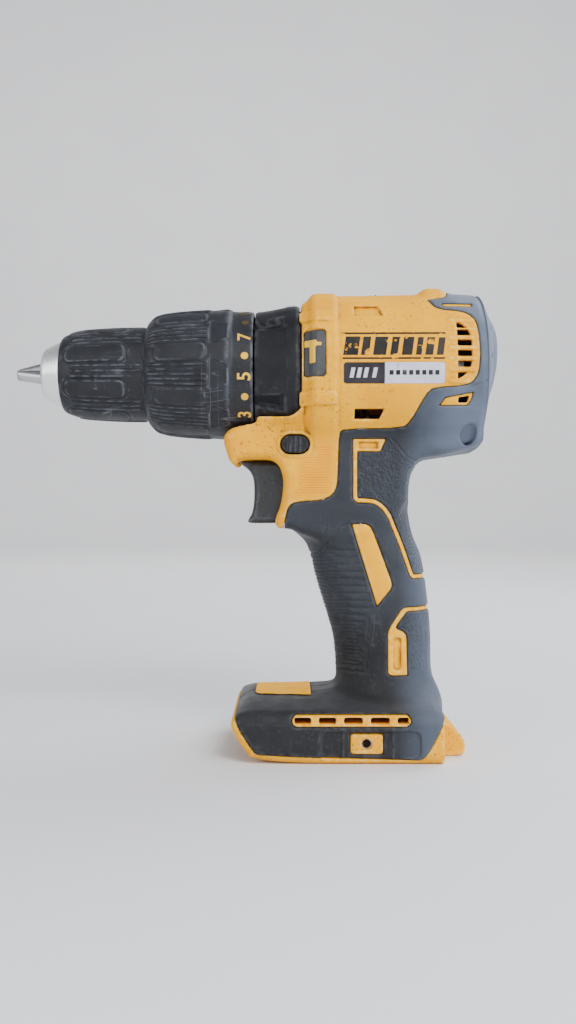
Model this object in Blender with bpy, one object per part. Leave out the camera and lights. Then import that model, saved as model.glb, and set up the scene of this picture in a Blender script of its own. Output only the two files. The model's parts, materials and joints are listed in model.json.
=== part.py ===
"""Cordless hammer drill, bare tool without its battery.

Frame: the foot's underside is z = 0, the chuck points to -X, the operator's left is -Y.
Every length below is in millimetres; MM turns them into Blender's metres.
"""
import math

import bmesh
import bpy
import numpy as np
from mathutils import Matrix, Vector

MM = 0.001
GAP = 0.3                    # air left between pieces that touch
AXIS_Z = 154.0               # height of the chuck and motor axis
TIP_X = -99.0                # jaw tips, the object's front end
TAIL_X = 99.0                # rear cap, the object's back end

# Head barrel and its cover
BARREL_R = 32.5
WALL = 2.5
BARREL_FRONT_X = 18.7
BARREL_REAR_X = 90.7
NECK_HALF = 17.5             # half width of the trigger housing
FOOT_HALF = 33.0
FOOT_FRONT_X = -9.0
FOOT_REAR_X = 74.0
FOOT_TOP_Z = 26.0
RUBBER = 1.6                 # thickness of the grip's rubber cover
RAIL_ROOF_Z = 13.0           # top of the battery channel
RAIL_LIP_Z = 3.0
RAIL_HALF = 27.0
RAIL_MOUTH_HALF = 22.5
BOSS_R = 3.4
SCREW_R = 1.4
SCREW_HEAD_R = 2.7

# Chuck
NOSE_X = -87.3
SLEEVE_FRONT_X = -79.0
SLEEVE_REAR_X = -43.5
BODY_REAR_X = -45.3
SLEEVE_R = 19.3
BIT_BORE_R = 6.6
JAW_R = 2.4
JAW_TILT = math.radians(15)
JAW_LENGTH = 27.0            # measured along the chuck axis
JAW_TIP_R = -0.3             # jaw centre line's distance from the axis at the tip
SPINDLE_R = 8.0
SPINDLE_NOSE_R = 6.35        # the threaded end that the chuck screws onto

# Clutch collar and gear case
COLLAR_FRONT_X = -44.0
COLLAR_REAR_X = -0.3
COLLAR_R = 26.5
CASE_R = 25.2
CASE_BORE_R = 21.8
CASE_END_X = 42.0

# Two planetary stages of one module
MODULE = 0.9
RING_TEETH = 42
SUN_1_TEETH, PLANET_1_TEETH = 12, 15
SUN_2_TEETH, PLANET_2_TEETH = 18, 12
STAGE_1_X = (27.6, 34.6)
STAGE_2_X = (14.6, 22.4)
PLANET_PIN_R = 1.5

# Motor
STATOR_X = (46.0, 71.5)
SHAFT_R = 2.5
BEARING_R = 8.0

# Grip sections from bottom to top: height, front x, rear x, half width
GRIP = [
    (22.0, 30.0, 74.0, 19.0),
    (31.0, 33.6, 71.9, 17.0),
    (44.0, 33.0, 72.0, 16.6),
    (57.0, 29.4, 71.2, 16.8),
    (70.0, 25.0, 69.2, 17.4),
    (80.0, 22.6, 66.4, 17.6),
    (90.0, 18.0, 63.8, 17.4),
    (106.0, 16.0, 62.3, 17.2),
    (116.0, 16.0, 63.8, 17.2),
    (128.0, 16.0, 70.0, 17.2),
]
GRIP_SIDES = 24

# Trigger housing under the barrel, seen from the left: x, z
NECK = [
    (1.0, 134.0), (-10.0, 128.6), (-11.8, 126.8), (-11.0, 121.5), (-9.4, 117.2),
    (-7.6, 116.2), (-6.4, 118.0), (4.0, 118.2), (7.4, 117.6), (10.2, 115.2), (11.4, 111.0),
    (11.6, 107.0), (10.4, 99.5), (8.4, 94.6), (8.4, 91.9), (10.4, 90.4), (21.0, 87.8),
    (46.0, 90.0), (60.0, 100.0), (61.0, 112.0), (66.0, 121.0), (66.0, 136.0),
]
NECK_HOLLOW = [
    (3.0, 137.0), (-8.4, 127.2), (-9.2, 125.6), (-8.7, 120.6), (8.0, 120.4), (12.0, 117.5), (13.9, 112.0),
    (14.0, 107.0), (12.8, 99.0), (11.2, 93.4), (22.0, 90.4), (45.0, 92.4), (57.6, 101.0), (58.4, 112.0),
    (63.4, 122.0), (63.4, 137.0),
]
# The foot's side outline: x, z
FOOT = [
    (1.0, 0.0), (FOOT_REAR_X, 0.0), (FOOT_REAR_X + 4.0, 3.0), (FOOT_REAR_X + 7.6, 6.0),
    (FOOT_REAR_X + 6.4, 10.5), (FOOT_REAR_X + 2.0, 15.0), (FOOT_REAR_X, 22.0), (70.0, 27.0),
    (30.0, FOOT_TOP_Z + 1.5), (0.0, FOOT_TOP_Z + 1.5), (-5.0, FOOT_TOP_Z - 1.0),
    (-8.2, 21.5), (FOOT_FRONT_X, 17.0), (-8.6, 12.0), (-2.0, 2.5),
]
# Where the grip's rubber lies, seen from the left: x, z
RUBBER_REGION = [
    (10.0, 33.0), (90.0, 33.0), (90.0, 112.0), (56.0, 112.0), (50.0, 96.0),
    (40.0, 84.0), (10.0, 84.0),
]
# Screws that clamp the two housing halves: x, z
HOUSING_SCREWS = [
    (28.0, AXIS_Z + 29.0), (73.5, AXIS_Z + 29.0), (84.0, AXIS_Z - 27.8), (30.0, 122.0),
    (48.0, 58.0), (8.0, 19.0), (66.0, 20.0),
]
TRIGGER = [
    (22.0, 93.0), (0.0, 92.4), (-2.4, 93.6), (-0.6, 97.0), (0.2, 103.0), (-0.1, 109.0),
    (-2.0, 113.6), (-5.6, 116.2), (-5.0, 117.4), (4.5, 117.6), (8.6, 116.4), (22.0, 116.0),
]
TRIGGER_TRAVEL = 6.0
LEVER_X, LEVER_Z = 16.3, 124.0
LEVER_TRAVEL = 3.5
KNOB_X, KNOB_TRAVEL = 49.5, 8.0
VENT_ROWS = 6
HOOK_X, HOOK_Z = 43.7, 8.0   # screw that holds a belt hook, on either side of the foot
HOOK_BORE_R = 3.9

BLACK = (0.035, 0.036, 0.042)
YELLOW = (0.83, 0.42, 0.02)
STEEL = (0.6, 0.6, 0.62)


# ---------------------------------------------------------------- helpers
def clear_scene():
    for item in list(bpy.data.objects):
        bpy.data.objects.remove(item, do_unlink=True)


def material(name, color, roughness, metallic=0.0):
    made = bpy.data.materials.new(name)
    made.use_nodes = True
    shader = made.node_tree.nodes["Principled BSDF"]
    shader.inputs["Base Color"].default_value = (*color, 1.0)
    shader.inputs["Roughness"].default_value = roughness
    shader.inputs["Metallic"].default_value = metallic
    return made


def solid(name, points, faces):
    """One object from points in millimetres, with its faces turned outwards."""
    mesh = bpy.data.meshes.new(name)
    mesh.from_pydata([tuple(c * MM for c in point) for point in points], [], faces)
    shape = bmesh.new()
    shape.from_mesh(mesh)
    bmesh.ops.remove_doubles(shape, verts=shape.verts, dist=1e-7)
    bmesh.ops.recalc_face_normals(shape, faces=shape.faces)
    shape.to_mesh(mesh)
    shape.free()
    made = bpy.data.objects.new(name, mesh)
    bpy.context.scene.collection.objects.link(made)
    return made


def boolean(base, tool, operation, keep_tool=False):
    """The base after one exact Boolean with the tool, which is then removed."""
    modifier = base.modifiers.new(operation, "BOOLEAN")
    modifier.operation = operation
    modifier.solver = "EXACT"
    modifier.object = tool
    view = bpy.context.evaluated_depsgraph_get()
    old = base.data
    base.data = bpy.data.meshes.new_from_object(base.evaluated_get(view))
    base.modifiers.clear()
    bpy.data.meshes.remove(old)
    if not keep_tool:
        bpy.data.objects.remove(tool, do_unlink=True)
    return base


def joined(name, pieces):
    """The union of overlapping pieces, as one body."""
    base = pieces[0]
    for piece in pieces[1:]:
        boolean(base, piece, "UNION")
    base.name = name
    return base


def cut(base, *tools):
    for tool in tools:
        boolean(base, tool, "DIFFERENCE")
    return base


def kept(base, tool):
    return boolean(base, tool, "INTERSECT")


def copy_of(source, name):
    made = bpy.data.objects.new(name, source.data.copy())
    bpy.context.scene.collection.objects.link(made)
    return made


def finish(made, paint, origin=None):
    """Give a piece its material, smooth shading and, if it moves, an origin on its joint."""
    made.data.materials.clear()
    made.data.materials.append(paint)
    made.data.shade_smooth()
    made.data.set_sharp_from_angle(angle=math.radians(32))
    if origin:
        shift = Vector(origin) * MM
        made.data.transform(Matrix.Translation(-shift))
        made.location = shift
    return made


def box(x, y, z):
    (x0, x1), (y0, y1), (z0, z1) = x, y, z
    points = [(a, b, c) for a in (x0, x1) for b in (y0, y1) for c in (z0, z1)]
    faces = [(0, 1, 3, 2), (4, 6, 7, 5), (0, 4, 5, 1), (2, 3, 7, 6), (0, 2, 6, 4), (1, 5, 7, 3)]
    return solid("box", points, faces)


def prism(outline, y0, y1):
    """An outline in the x-z plane, drawn out along Y."""
    count = len(outline)
    points = [(x, y0, z) for x, z in outline] + [(x, y1, z) for x, z in outline]
    sides = [(i, (i + 1) % count, count + (i + 1) % count, count + i) for i in range(count)]
    return solid("prism", points, sides + [tuple(range(count)), tuple(range(count, 2 * count))])


def soft_prism(outline, half, edge):
    """A prism about Y = 0 whose long edges are rounded off by a chamfer."""
    made = prism(outline, -half, half)
    shape = bmesh.new()
    shape.from_mesh(made.data)
    rims = [e for e in shape.edges if abs(e.verts[0].co.y - e.verts[1].co.y) < 1e-6]
    bmesh.ops.bevel(shape, geom=rims, offset=edge * MM, segments=2, affect="EDGES", profile=0.5)
    shape.to_mesh(made.data)
    shape.free()
    return made


def stacked(rings):
    """A closed solid through rings of equal point counts, capped at both ends."""
    sides = len(rings[0])
    points = [point for ring in rings for point in ring]
    faces = [tuple(range(sides)), tuple(range(len(points) - sides, len(points)))]
    for level in range(len(rings) - 1):
        low, high = level * sides, (level + 1) * sides
        faces += [(low + i, low + (i + 1) % sides, high + (i + 1) % sides, high + i) for i in range(sides)]
    return solid("stack", points, faces)


def turned(profile, sides=36, z=AXIS_Z, y=0.0):
    """A ring solid: a closed profile of (x, r) turned about the line (y, z) along X."""
    rings = []
    for i in range(sides):
        angle = 2 * math.pi * i / sides
        rings.append([(x, y + r * math.cos(angle), z + r * math.sin(angle)) for x, r in profile])
    count = len(profile)
    points = [point for ring in rings for point in ring]
    faces = []
    for i in range(sides):
        here, there = i * count, (i + 1) % sides * count
        faces += [(here + k, here + (k + 1) % count, there + (k + 1) % count, there + k)
                  for k in range(count)]
    return solid("ring", points, faces)


def circle_points(radius, a, b, sides):
    """Points round a circle about (a, b)."""
    turns = [2 * math.pi * i / sides for i in range(sides)]
    return [(a + radius * math.cos(turn), b + radius * math.sin(turn)) for turn in turns]


def rod(x0, x1, radius, sides=24, y=0.0, z=AXIS_Z):
    """A solid cylinder along X."""
    circle = circle_points(radius, y, z, sides)
    return stacked([[(x, a, b) for a, b in circle] for x in (x0, x1)])


def spun(profile, sides=48):
    """A solid of revolution about the chuck axis from an open profile of (x, r), flat at both ends."""
    return stacked([[(x, *point) for point in circle_points(r, 0.0, AXIS_Z, sides)] for x, r in profile])


def tube(x0, x1, outer, inner, sides=28):
    return turned([(x0, inner), (x0, outer), (x1, outer), (x1, inner)], sides)


def cross_rod(y0, y1, radius, x, z, sides=10):
    """A solid cylinder along Y."""
    circle = circle_points(radius, x, z, sides)
    return stacked([[(a, y, b) for a, b in circle] for y in (y0, y1)])


def around(radius, angle):
    """The (y, z) place at an angle about the chuck axis."""
    return radius * math.cos(angle), AXIS_Z + radius * math.sin(angle)


# ---------------------------------------------------------------- gears
def tooth_points(teeth, phase, root, tip, thick_root, thick_tip):
    """Trapezoid teeth round a circle: (angle, radius) pairs."""
    pitch = 2 * math.pi / teeth
    for k in range(teeth):
        middle = phase + k * pitch
        for radius, share in ((root, -thick_root), (tip, -thick_tip), (tip, thick_tip), (root, thick_root)):
            yield middle + share * pitch, radius


def outer_gear(x_range, teeth, phase, y=0.0, z=AXIS_Z):
    """A spur gear whose tooth 0 points to the angle phase."""
    pitch_r = MODULE * teeth / 2
    outline = [(y + r * math.cos(a), z + r * math.sin(a)) for a, r in tooth_points(
        teeth, phase, pitch_r - 1.15 * MODULE, pitch_r + 0.8 * MODULE, 0.27, 0.1)]
    return stacked([[(x, *point) for point in outline] for x in x_range])


def ring_gear(x_range, phase):
    """An internal gear that fills the gear case's bore."""
    pitch_r = MODULE * RING_TEETH / 2
    inner = [(r * math.cos(a), AXIS_Z + r * math.sin(a)) for a, r in tooth_points(
        RING_TEETH, phase, pitch_r + 1.15 * MODULE, pitch_r - 0.8 * MODULE, 0.27, 0.1)]
    blank = rod(*x_range, CASE_BORE_R - GAP, sides=42)
    return cut(blank, stacked([[(x, *point) for point in inner] for x in (x_range[0] - 1, x_range[1] + 1)]))


def planet_phase(sun_teeth, planet_teeth, place, sun_phase=0.0):
    """The planet's tooth angle that puts its gap over the sun's tooth, at the angle place."""
    return place + math.pi - sun_teeth / planet_teeth * (sun_phase - place) - math.pi / planet_teeth


def ring_phase(planet_teeth, place, phase):
    """The ring's tooth angle that meshes with a planet at the angle place."""
    return place + planet_teeth / RING_TEETH * (phase - place - math.pi / planet_teeth)


def planetary_stage(number, x_range, sun_teeth, planet_teeth, steel):
    """The planets and ring gear of one stage; the sun belongs to its shaft."""
    centre_r = MODULE * (sun_teeth + planet_teeth) / 2
    for k in range(3):
        place = 2 * math.pi * k / 3 + math.pi / 2
        y, z = around(centre_r, place)
        phase = planet_phase(sun_teeth, planet_teeth, place)
        gear = outer_gear(x_range, planet_teeth, phase, y, z)
        cut(gear, rod(x_range[0] - 1, x_range[1] + 1, PLANET_PIN_R + 0.6, 12, y, z))
        gear.name = f"planet_{number}_{k + 1}"
        finish(gear, steel, (x_range[0], y, z))
    ring = ring_gear((x_range[0] - 0.6, x_range[1] + 1.0), ring_phase(planet_teeth, place, phase))
    ring.name = f"ring_gear_{number}"
    finish(ring, steel)


def carrier(name, disc_x, pin_end, centre_r, extra):
    """A disc with three planet pins, joined with the extra pieces it drives."""
    places = [2 * math.pi * k / 3 + math.pi / 2 for k in range(3)]
    pins = [rod(disc_x[1] - 1, pin_end, PLANET_PIN_R, 12, *around(centre_r, place)) for place in places]
    return joined(name, [rod(*disc_x, 16.5, 36)] + pins + extra)


def gear_train(steel):
    planetary_stage(1, STAGE_1_X, SUN_1_TEETH, PLANET_1_TEETH, steel)
    planetary_stage(2, STAGE_2_X, SUN_2_TEETH, PLANET_2_TEETH, steel)
    centre_1 = MODULE * (SUN_1_TEETH + PLANET_1_TEETH) / 2
    centre_2 = MODULE * (SUN_2_TEETH + PLANET_2_TEETH) / 2
    middle = (STAGE_2_X[1] + 1.2, STAGE_1_X[0] - 0.9)
    sun_2 = outer_gear((STAGE_2_X[0] + 0.2, middle[0] + 0.5), SUN_2_TEETH, 0.0)
    first = carrier("carrier_1", middle, STAGE_1_X[1] + 1.0, centre_1, [sun_2])
    finish(first, steel, (middle[0], 0, AXIS_Z))
    shaft = joined("shaft", [
        rod(BODY_REAR_X + 0.6, 11.0, SPINDLE_R), rod(-60.0, BODY_REAR_X + 1.5, SPINDLE_NOSE_R)])
    spindle = carrier("spindle", (10.0, STAGE_2_X[0] - 0.9), STAGE_2_X[1] + 0.6, centre_2, [shaft])
    cut(spindle, rod(-61.0, -46.0, 2.6, 12))
    finish(spindle, steel, (0, 0, AXIS_Z))


# ---------------------------------------------------------------- chuck
def jaw_bar(radius, x0, x1, angle):
    """A cylinder along one jaw's slanted centre line between two planes across the axis."""
    sides = 14
    rings = []
    for x in (x0, x1):
        centre_r = JAW_TIP_R + (x - TIP_X) * math.tan(JAW_TILT)
        ring = []
        for i in range(sides):
            turn = 2 * math.pi * (i + 0.5) / sides
            out = centre_r + radius * math.cos(turn) / math.cos(JAW_TILT)
            side = radius * math.sin(turn)
            ring.append((x, out * math.cos(angle) - side * math.sin(angle),
                         AXIS_Z + out * math.sin(angle) + side * math.cos(angle)))
        rings.append(ring)
    return stacked(rings)


def jaw(number, steel):
    """One chuck jaw: a slanted bar with two gripping faces that meet its neighbours."""
    angle = math.radians(90 + 120 * (number - 1))
    bar = jaw_bar(JAW_R, TIP_X, TIP_X + JAW_LENGTH, angle)
    reach, half_gap = 20.0, GAP / 2 / math.sin(math.radians(60))
    wedge = []
    for x in (TIP_X - 1, TIP_X + JAW_LENGTH + 1):
        corners = [(half_gap, 0.0), (half_gap + reach, -reach * math.tan(math.radians(60))),
                   (half_gap + reach, reach * math.tan(math.radians(60)))]
        wedge.append([(x, a * math.cos(angle) - b * math.sin(angle),
                       AXIS_Z + a * math.sin(angle) + b * math.cos(angle)) for a, b in corners])
    kept(bar, stacked(wedge))
    bar.name = f"jaw_{number}"
    finish(bar, steel, (TIP_X, *around(JAW_TIP_R, angle)))


def chuck(steel, black_metal):
    seat = (SLEEVE_FRONT_X + 0.7, -69.7)
    body = turned([
        (NOSE_X, BIT_BORE_R), (NOSE_X, 9.8), (NOSE_X + 0.7, 10.6), (SLEEVE_FRONT_X - 0.4, 14.2),
        (seat[0], 14.2), (seat[0], 7.6), (seat[1], 9.8), (seat[1], 15.8), (-60.8, 15.8), (-60.8, 17.3),
        (BODY_REAR_X, 17.3), (BODY_REAR_X, SPINDLE_NOSE_R + GAP), (-60.3, SPINDLE_NOSE_R + GAP),
        (-60.3, 2.6), (-63.0, 2.6), (-63.0, BIT_BORE_R)], 30)
    for number in (1, 2, 3):
        angle = math.radians(90 + 120 * (number - 1))
        cut(body, jaw_bar(JAW_R + GAP, TIP_X - 2, -47.4, angle))
        jaw(number, steel)
    body.name = "chuck_body"
    finish(body, steel, (NOSE_X, 0, AXIS_Z))
    sleeve = turned([
        (SLEEVE_FRONT_X, 14.7), (SLEEVE_FRONT_X, 15.3), (-77.4, 15.8), (-73.5, 17.6), (-69.0, 18.3),
        (-56.0, SLEEVE_R), (SLEEVE_REAR_X, SLEEVE_R), (SLEEVE_REAR_X, 18.0), (-61.5, 18.0),
        (-61.5, 16.6), (-76.4, 16.2), (-77.4, 14.7)], 30)
    sleeve.name = "chuck_sleeve"
    for k in range(8):
        angle = 2 * math.pi * (k + 0.5) / 8
        groove = rod(-71.0, -47.0, 1.1, 8, *around(19.6, angle))
        cut(sleeve, groove)
    finish(sleeve, black_metal, (SLEEVE_FRONT_X, 0, AXIS_Z))
    nut = turned([(-76.1, 8.8), (-76.1, 15.7), (-70.2, 15.7), (-70.2, 10.5)], 30)
    nut.name = "chuck_nut"
    finish(nut, steel, (SLEEVE_FRONT_X, 0, AXIS_Z))
    screw = joined("chuck_screw", [rod(-65.6, -63.3, 4.5, 20), rod(-64.0, -48.0, 2.2, 12)])
    finish(screw, steel, (NOSE_X, 0, AXIS_Z))


# ---------------------------------------------------------------- clutch
def clutch(black, steel):
    wall, recess = 2.6, COLLAR_FRONT_X + 1.2
    profile = [
        (recess, 11.0), (recess, 19.8), (COLLAR_FRONT_X, 19.8), (-42.6, 21.6), (-39.5, 24.4), (-30.0, 25.6),
        (-14.8, COLLAR_R), (-10.6, COLLAR_R + 0.4), (-8.6, 25.8), (COLLAR_REAR_X, 25.8),
        (COLLAR_REAR_X, 22.4), (-38.0, 22.4), (recess + wall, 20.4), (recess + wall, 11.0)]
    collar = turned(profile, 36)
    for k in range(9):
        angle = 2 * math.pi * (k + 0.5) / 9
        cut(collar, rod(-38.0, -17.0, 1.3, 8, *around(26.9, angle)))
    collar.name = "clutch_collar"
    finish(collar, black, (0, 0, AXIS_Z))
    spring = coil("clutch_spring", 18.4, 1.1, -38.0, -8.0, 4, steps=12, sides=5)
    finish(spring, steel)
    plate = tube(-6.0, -3.5, 21.4, 15.8, 28)
    plate.name = "clutch_plate"
    finish(plate, steel)


def coil(name, radius, wire, x0, x1, turns, y=0.0, z=AXIS_Z, steps=16, sides=6):
    """A helical spring along X made of round wire."""
    count = turns * steps
    rings = []
    for i in range(count + 1):
        angle = 2 * math.pi * i / steps
        x = x0 + wire + (x1 - x0 - 2 * wire) * i / count
        rings.append([(x + wire * math.sin(2 * math.pi * k / sides),
                       y + (radius + wire * math.cos(2 * math.pi * k / sides)) * math.cos(angle),
                       z + (radius + wire * math.cos(2 * math.pi * k / sides)) * math.sin(angle))
                      for k in range(sides)])
    made = stacked(rings)
    made.name = name
    return made


def gear_case(black, steel):
    profile = [
        (-24.0, 9.4), (-24.0, 15.0), (1.0, 15.0), (1.0, 25.4), (4.0, 25.6), (12.0, 27.3),
        (BARREL_FRONT_X - GAP, 28.0), (BARREL_FRONT_X - GAP, CASE_R), (CASE_END_X, CASE_R),
        (CASE_END_X, CASE_BORE_R), (8.0, CASE_BORE_R), (8.0, 11.0), (-13.5, 11.0), (-13.5, 9.4)]
    case = turned(profile, 32)
    case.name = "gear_case"
    finish(case, black)
    bearing = tube(-23.0, -14.0, 9.0, SPINDLE_R + GAP, 24)
    bearing.name = "spindle_bearing"
    finish(bearing, steel)
    plate = tube(37.6, 41.2, CASE_BORE_R - GAP, BEARING_R + GAP, 28)
    plate.name = "motor_plate"
    finish(plate, steel)


# ---------------------------------------------------------------- motor
def motor(steel, copper, green, black):
    x0, x1 = STATOR_X
    stator = tube(x0, x1, 24.8, 13.4, 30)
    for k in range(6):
        angle = 2 * math.pi * (k + 0.5) / 6
        cut(stator, rod(x0 - 1, x1 + 1, 3.2, 8, *around(19.0, angle)))
    stator.name = "stator"
    finish(stator, copper)
    rotor = tube(x0 + 1.5, x1 - 1.5, 12.8, SHAFT_R + GAP, 24)
    rotor.name = "rotor"
    finish(rotor, steel, (x0, 0, AXIS_Z))
    pinion = outer_gear((STAGE_1_X[0], STAGE_1_X[1] + 1.0), SUN_1_TEETH, 0.0)
    shaft = joined("motor_shaft", [pinion, rod(STAGE_1_X[1] - 1.0, 90.0, SHAFT_R, 16)])
    finish(shaft, steel, (x0, 0, AXIS_Z))
    for name, start in (("front_bearing", 38.0), ("rear_bearing", 85.6)):
        ring = tube(start, start + 4.0, BEARING_R, SHAFT_R + GAP, 20)
        ring.name = name
        finish(ring, steel)
    board = tube(x1 + 0.8, x1 + 2.4, 22.5, 4.5, 24)
    board.name = "sensor_board"
    finish(board, green)
    fan_start = x1 + 3.4
    star = [around(r, a) for a, r in tooth_points(11, 0.0, 6.0, 21.0, 0.09, 0.025)]
    blades = stacked([[(x, *point) for point in star] for x in (fan_start + 1.0, fan_start + 7.0)])
    fan = joined("fan", [rod(fan_start, fan_start + 1.4, 21.5, 36), blades])
    cut(fan, rod(fan_start - 1, fan_start + 8, SHAFT_R + GAP, 16))
    finish(fan, black, (x0, 0, AXIS_Z))


# ---------------------------------------------------------------- housing
def grip_solid(inset, floor=0.0):
    """The grip as superellipse sections, drawn in by the inset and cut level at the floor."""
    rings = []
    for z, front, rear, half in GRIP:
        middle, reach = (front + rear) / 2, (rear - front) / 2 - inset
        ring = []
        for i in range(GRIP_SIDES):
            a = 2 * math.pi * (i + 0.5) / GRIP_SIDES
            c, s = math.cos(a), math.sin(a)
            ring.append((middle + reach * math.copysign(abs(c) ** 0.8, c),
                         (half - inset) * math.copysign(abs(s) ** 0.8, s), max(z, floor)))
        rings.append(ring)
    return stacked(rings)


def barrel_solid(inset=0.0):
    """The motor barrel, or with an inset the space inside it, which runs out through the open rear."""
    radius, front = BARREL_R - inset, BARREL_FRONT_X + inset
    profile = [(front, 28.4 - inset), (front + 3.0, radius - 1.6), (front + 5.0, radius)]
    if inset:
        profile.append((BARREL_REAR_X + 2.0, radius))
    else:
        profile += [(BARREL_REAR_X - 2.2, radius), (BARREL_REAR_X, radius - 1.6)]
    return spun(profile, 40)


def grown_outline(outline, grow):
    """An outline that turns counter-clockwise, with each corner moved outwards along its bisector."""
    points = np.array(outline)
    ahead, behind = np.roll(points, -1, 0) - points, points - np.roll(points, 1, 0)
    ahead /= np.linalg.norm(ahead, axis=1)[:, None]
    behind /= np.linalg.norm(behind, axis=1)[:, None]
    normal = np.stack([(ahead + behind)[:, 1], -(ahead + behind)[:, 0]], 1)
    normal /= np.linalg.norm(normal, axis=1)[:, None]
    return [tuple(point) for point in points + normal * grow]


def outer_shape():
    neck = soft_prism(NECK, NECK_HALF, 1.0)
    cut(neck, rod(-30.0, BARREL_FRONT_X - 0.01, COLLAR_R + 1.0, 40))
    cut(neck, rod(0.7, BARREL_FRONT_X - 0.02, 28.6, 40))
    foot = soft_prism(FOOT, FOOT_HALF, 3.0)
    return joined("outer", [barrel_solid(), neck, grip_solid(0), foot])


def inner_shape():
    """Everything that is hollow inside the two halves."""
    neck = prism(NECK_HOLLOW, -NECK_HALF + WALL, NECK_HALF - WALL)
    foot = box((FOOT_FRONT_X + 4.5, FOOT_REAR_X - 3.5), (-RAIL_HALF, RAIL_HALF),
               (RAIL_ROOF_Z + 2.5, FOOT_TOP_Z - 1.2))
    grip = grip_solid(RUBBER + GAP + WALL, RAIL_ROOF_Z + 6)
    hollow = joined("hollow", [barrel_solid(WALL), neck, grip, foot])
    for x, z in HOUSING_SCREWS:
        cut(hollow, cross_rod(-40, 40, BOSS_R, x, z, 8))
    return hollow


def rubber_cutter(grow):
    """What the rubber takes from the housing: its region, less the grip's core."""
    region = prism(grown_outline(RUBBER_REGION, grow), -30, 30)
    return cut(region, grip_solid(RUBBER + grow))


def pill(half_length, half_height, y0, y1, x, z, sides=16):
    """A long hole or button with round ends, along Y."""
    ring = []
    for i in range(sides):
        a = 2 * math.pi * (i + 0.5) / sides
        shift = math.copysign(half_length - half_height, math.cos(a))
        ring.append((x + shift + half_height * math.cos(a), z + half_height * math.sin(a)))
    return prism(ring, y0, y1)


def housing_openings(shell):
    trigger_slot = box((-14.0, 30.0), (-10.2, 10.2), (91.0, 118.0))
    light_hole = rod(-14.0, -3.0, 3.3, 16, 0.0, 122.0)
    lever_hole = pill(6.0, 4.0, -30, 30, LEVER_X, LEVER_Z)
    knob_slot = box((KNOB_X - 5.5, KNOB_X + KNOB_TRAVEL + 5.5), (-6.5, 6.5), (AXIS_Z + 27.5, AXIS_Z + 40))
    nose_bore = rod(BARREL_FRONT_X - 1, BARREL_FRONT_X + 5, CASE_R + GAP + 0.2, 40)
    rail = joined("rail", [
        box((FOOT_FRONT_X - 3, 64.0), (-RAIL_HALF, RAIL_HALF), (RAIL_LIP_Z, RAIL_ROOF_Z)),
        box((FOOT_FRONT_X - 4, 63.5), (-RAIL_MOUTH_HALF, RAIL_MOUTH_HALF), (-1.0, RAIL_LIP_Z + 1))])
    contact_hole = box((44.0, 58.0), (-19.0, 19.0), (RAIL_ROOF_Z - 1, RAIL_ROOF_Z + 4))
    cut(shell, trigger_slot, light_hole, lever_hole, knob_slot, nose_bore, rail, contact_hole)
    for row in range(VENT_ROWS):
        z = AXIS_Z + 15.0 - 4.2 * row
        cut(shell, box((79.0, 84.6), (-40, 40), (z - 0.8, z + 0.8)))
    for side in (-1, 1):
        wall = sorted((side * (FOOT_HALF - 7), side * (FOOT_HALF + 1)))
        for number in range(5):
            x = 15.6 + 9.9 * number
            cut(shell, box((x, x + 6.5), wall, (RAIL_ROOF_Z + 2.8, RAIL_ROOF_Z + 5.6)))
        recess = sorted((side * (FOOT_HALF - 2.2), side * (FOOT_HALF + 1)))
        cut(shell, box((26.0, 62.0), recess, (3.0, 12.6)))
        cut(shell, cross_rod(*wall, HOOK_BORE_R, HOOK_X, HOOK_Z, 16))
    return shell


def housing(yellow, rubber, steel):
    shell = cut(outer_shape(), inner_shape(), rubber_cutter(GAP))
    housing_openings(shell)
    cover = cut(kept(grip_solid(0), prism(RUBBER_REGION, -30, 30)), grip_solid(RUBBER))
    for x, z in HOUSING_SCREWS:
        cut(shell, cross_rod(-6.0, 40.0, SCREW_R + GAP, x, z, 8))
    sides = (("left", -1), ("right", 1))
    for name, side in sides:
        for whole, title, paint in ((shell, "housing", yellow), (cover, "overmold", rubber)):
            half = copy_of(whole, f"{title}_{name}")
            y = sorted((side * GAP / 2, side * 60.0))
            kept(half, box((-120, 120), y, (-20, 220)))
            if title == "housing" and side > 0:
                for x, z in HOUSING_SCREWS:
                    cut(half, cross_rod(head_seat(x, z), 60.0, SCREW_HEAD_R + 0.6, x, z, 8))
            finish(half, paint)
    bpy.data.objects.remove(shell, do_unlink=True)
    bpy.data.objects.remove(cover, do_unlink=True)
    for number, (x, z) in enumerate(HOUSING_SCREWS, 1):
        seat = head_seat(x, z)
        screw = joined(f"housing_screw_{number}", [
            cross_rod(seat + GAP, seat + 2.3, SCREW_HEAD_R, x, z, 8),
            cross_rod(-5.4, seat + 1.0, SCREW_R - 0.1, x, z, 8)])
        finish(screw, steel)


def head_seat(x, z):
    """How far from the middle plane a screw's head sits, from the housing's width there."""
    if z > AXIS_Z or x > 80:
        offset = abs(z - AXIS_Z)
        return math.sqrt(BARREL_R ** 2 - offset ** 2) - 5.0
    if z < FOOT_TOP_Z:
        return FOOT_HALF - 8.0
    return NECK_HALF - 6.5


def rear_cap(black):
    outer = [(BARREL_REAR_X + GAP, 30.6), (92.6, 28.4), (95.5, 24.6), (98.2, 19.6), (TAIL_X, 16.5),
             (TAIL_X, 2.0)]
    inner = [(96.0, 2.0), (96.0, 14.0), (93.4, 20.0), (91.6, 26.0), (88.2, 27.2), (88.2, 29.3),
             (BARREL_REAR_X + GAP, 29.3)]
    shell = turned(outer + inner, 32)
    cap = joined("rear_cap", [shell, rod(96.2, TAIL_X - 0.1, 4.0, 24)])
    cup = tube(85.8, 96.6, BEARING_R + 2.2, BEARING_R + GAP, 20)
    joined("rear_cap", [cap, cup])
    cap.name = "rear_cap"
    finish(cap, black)


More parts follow.
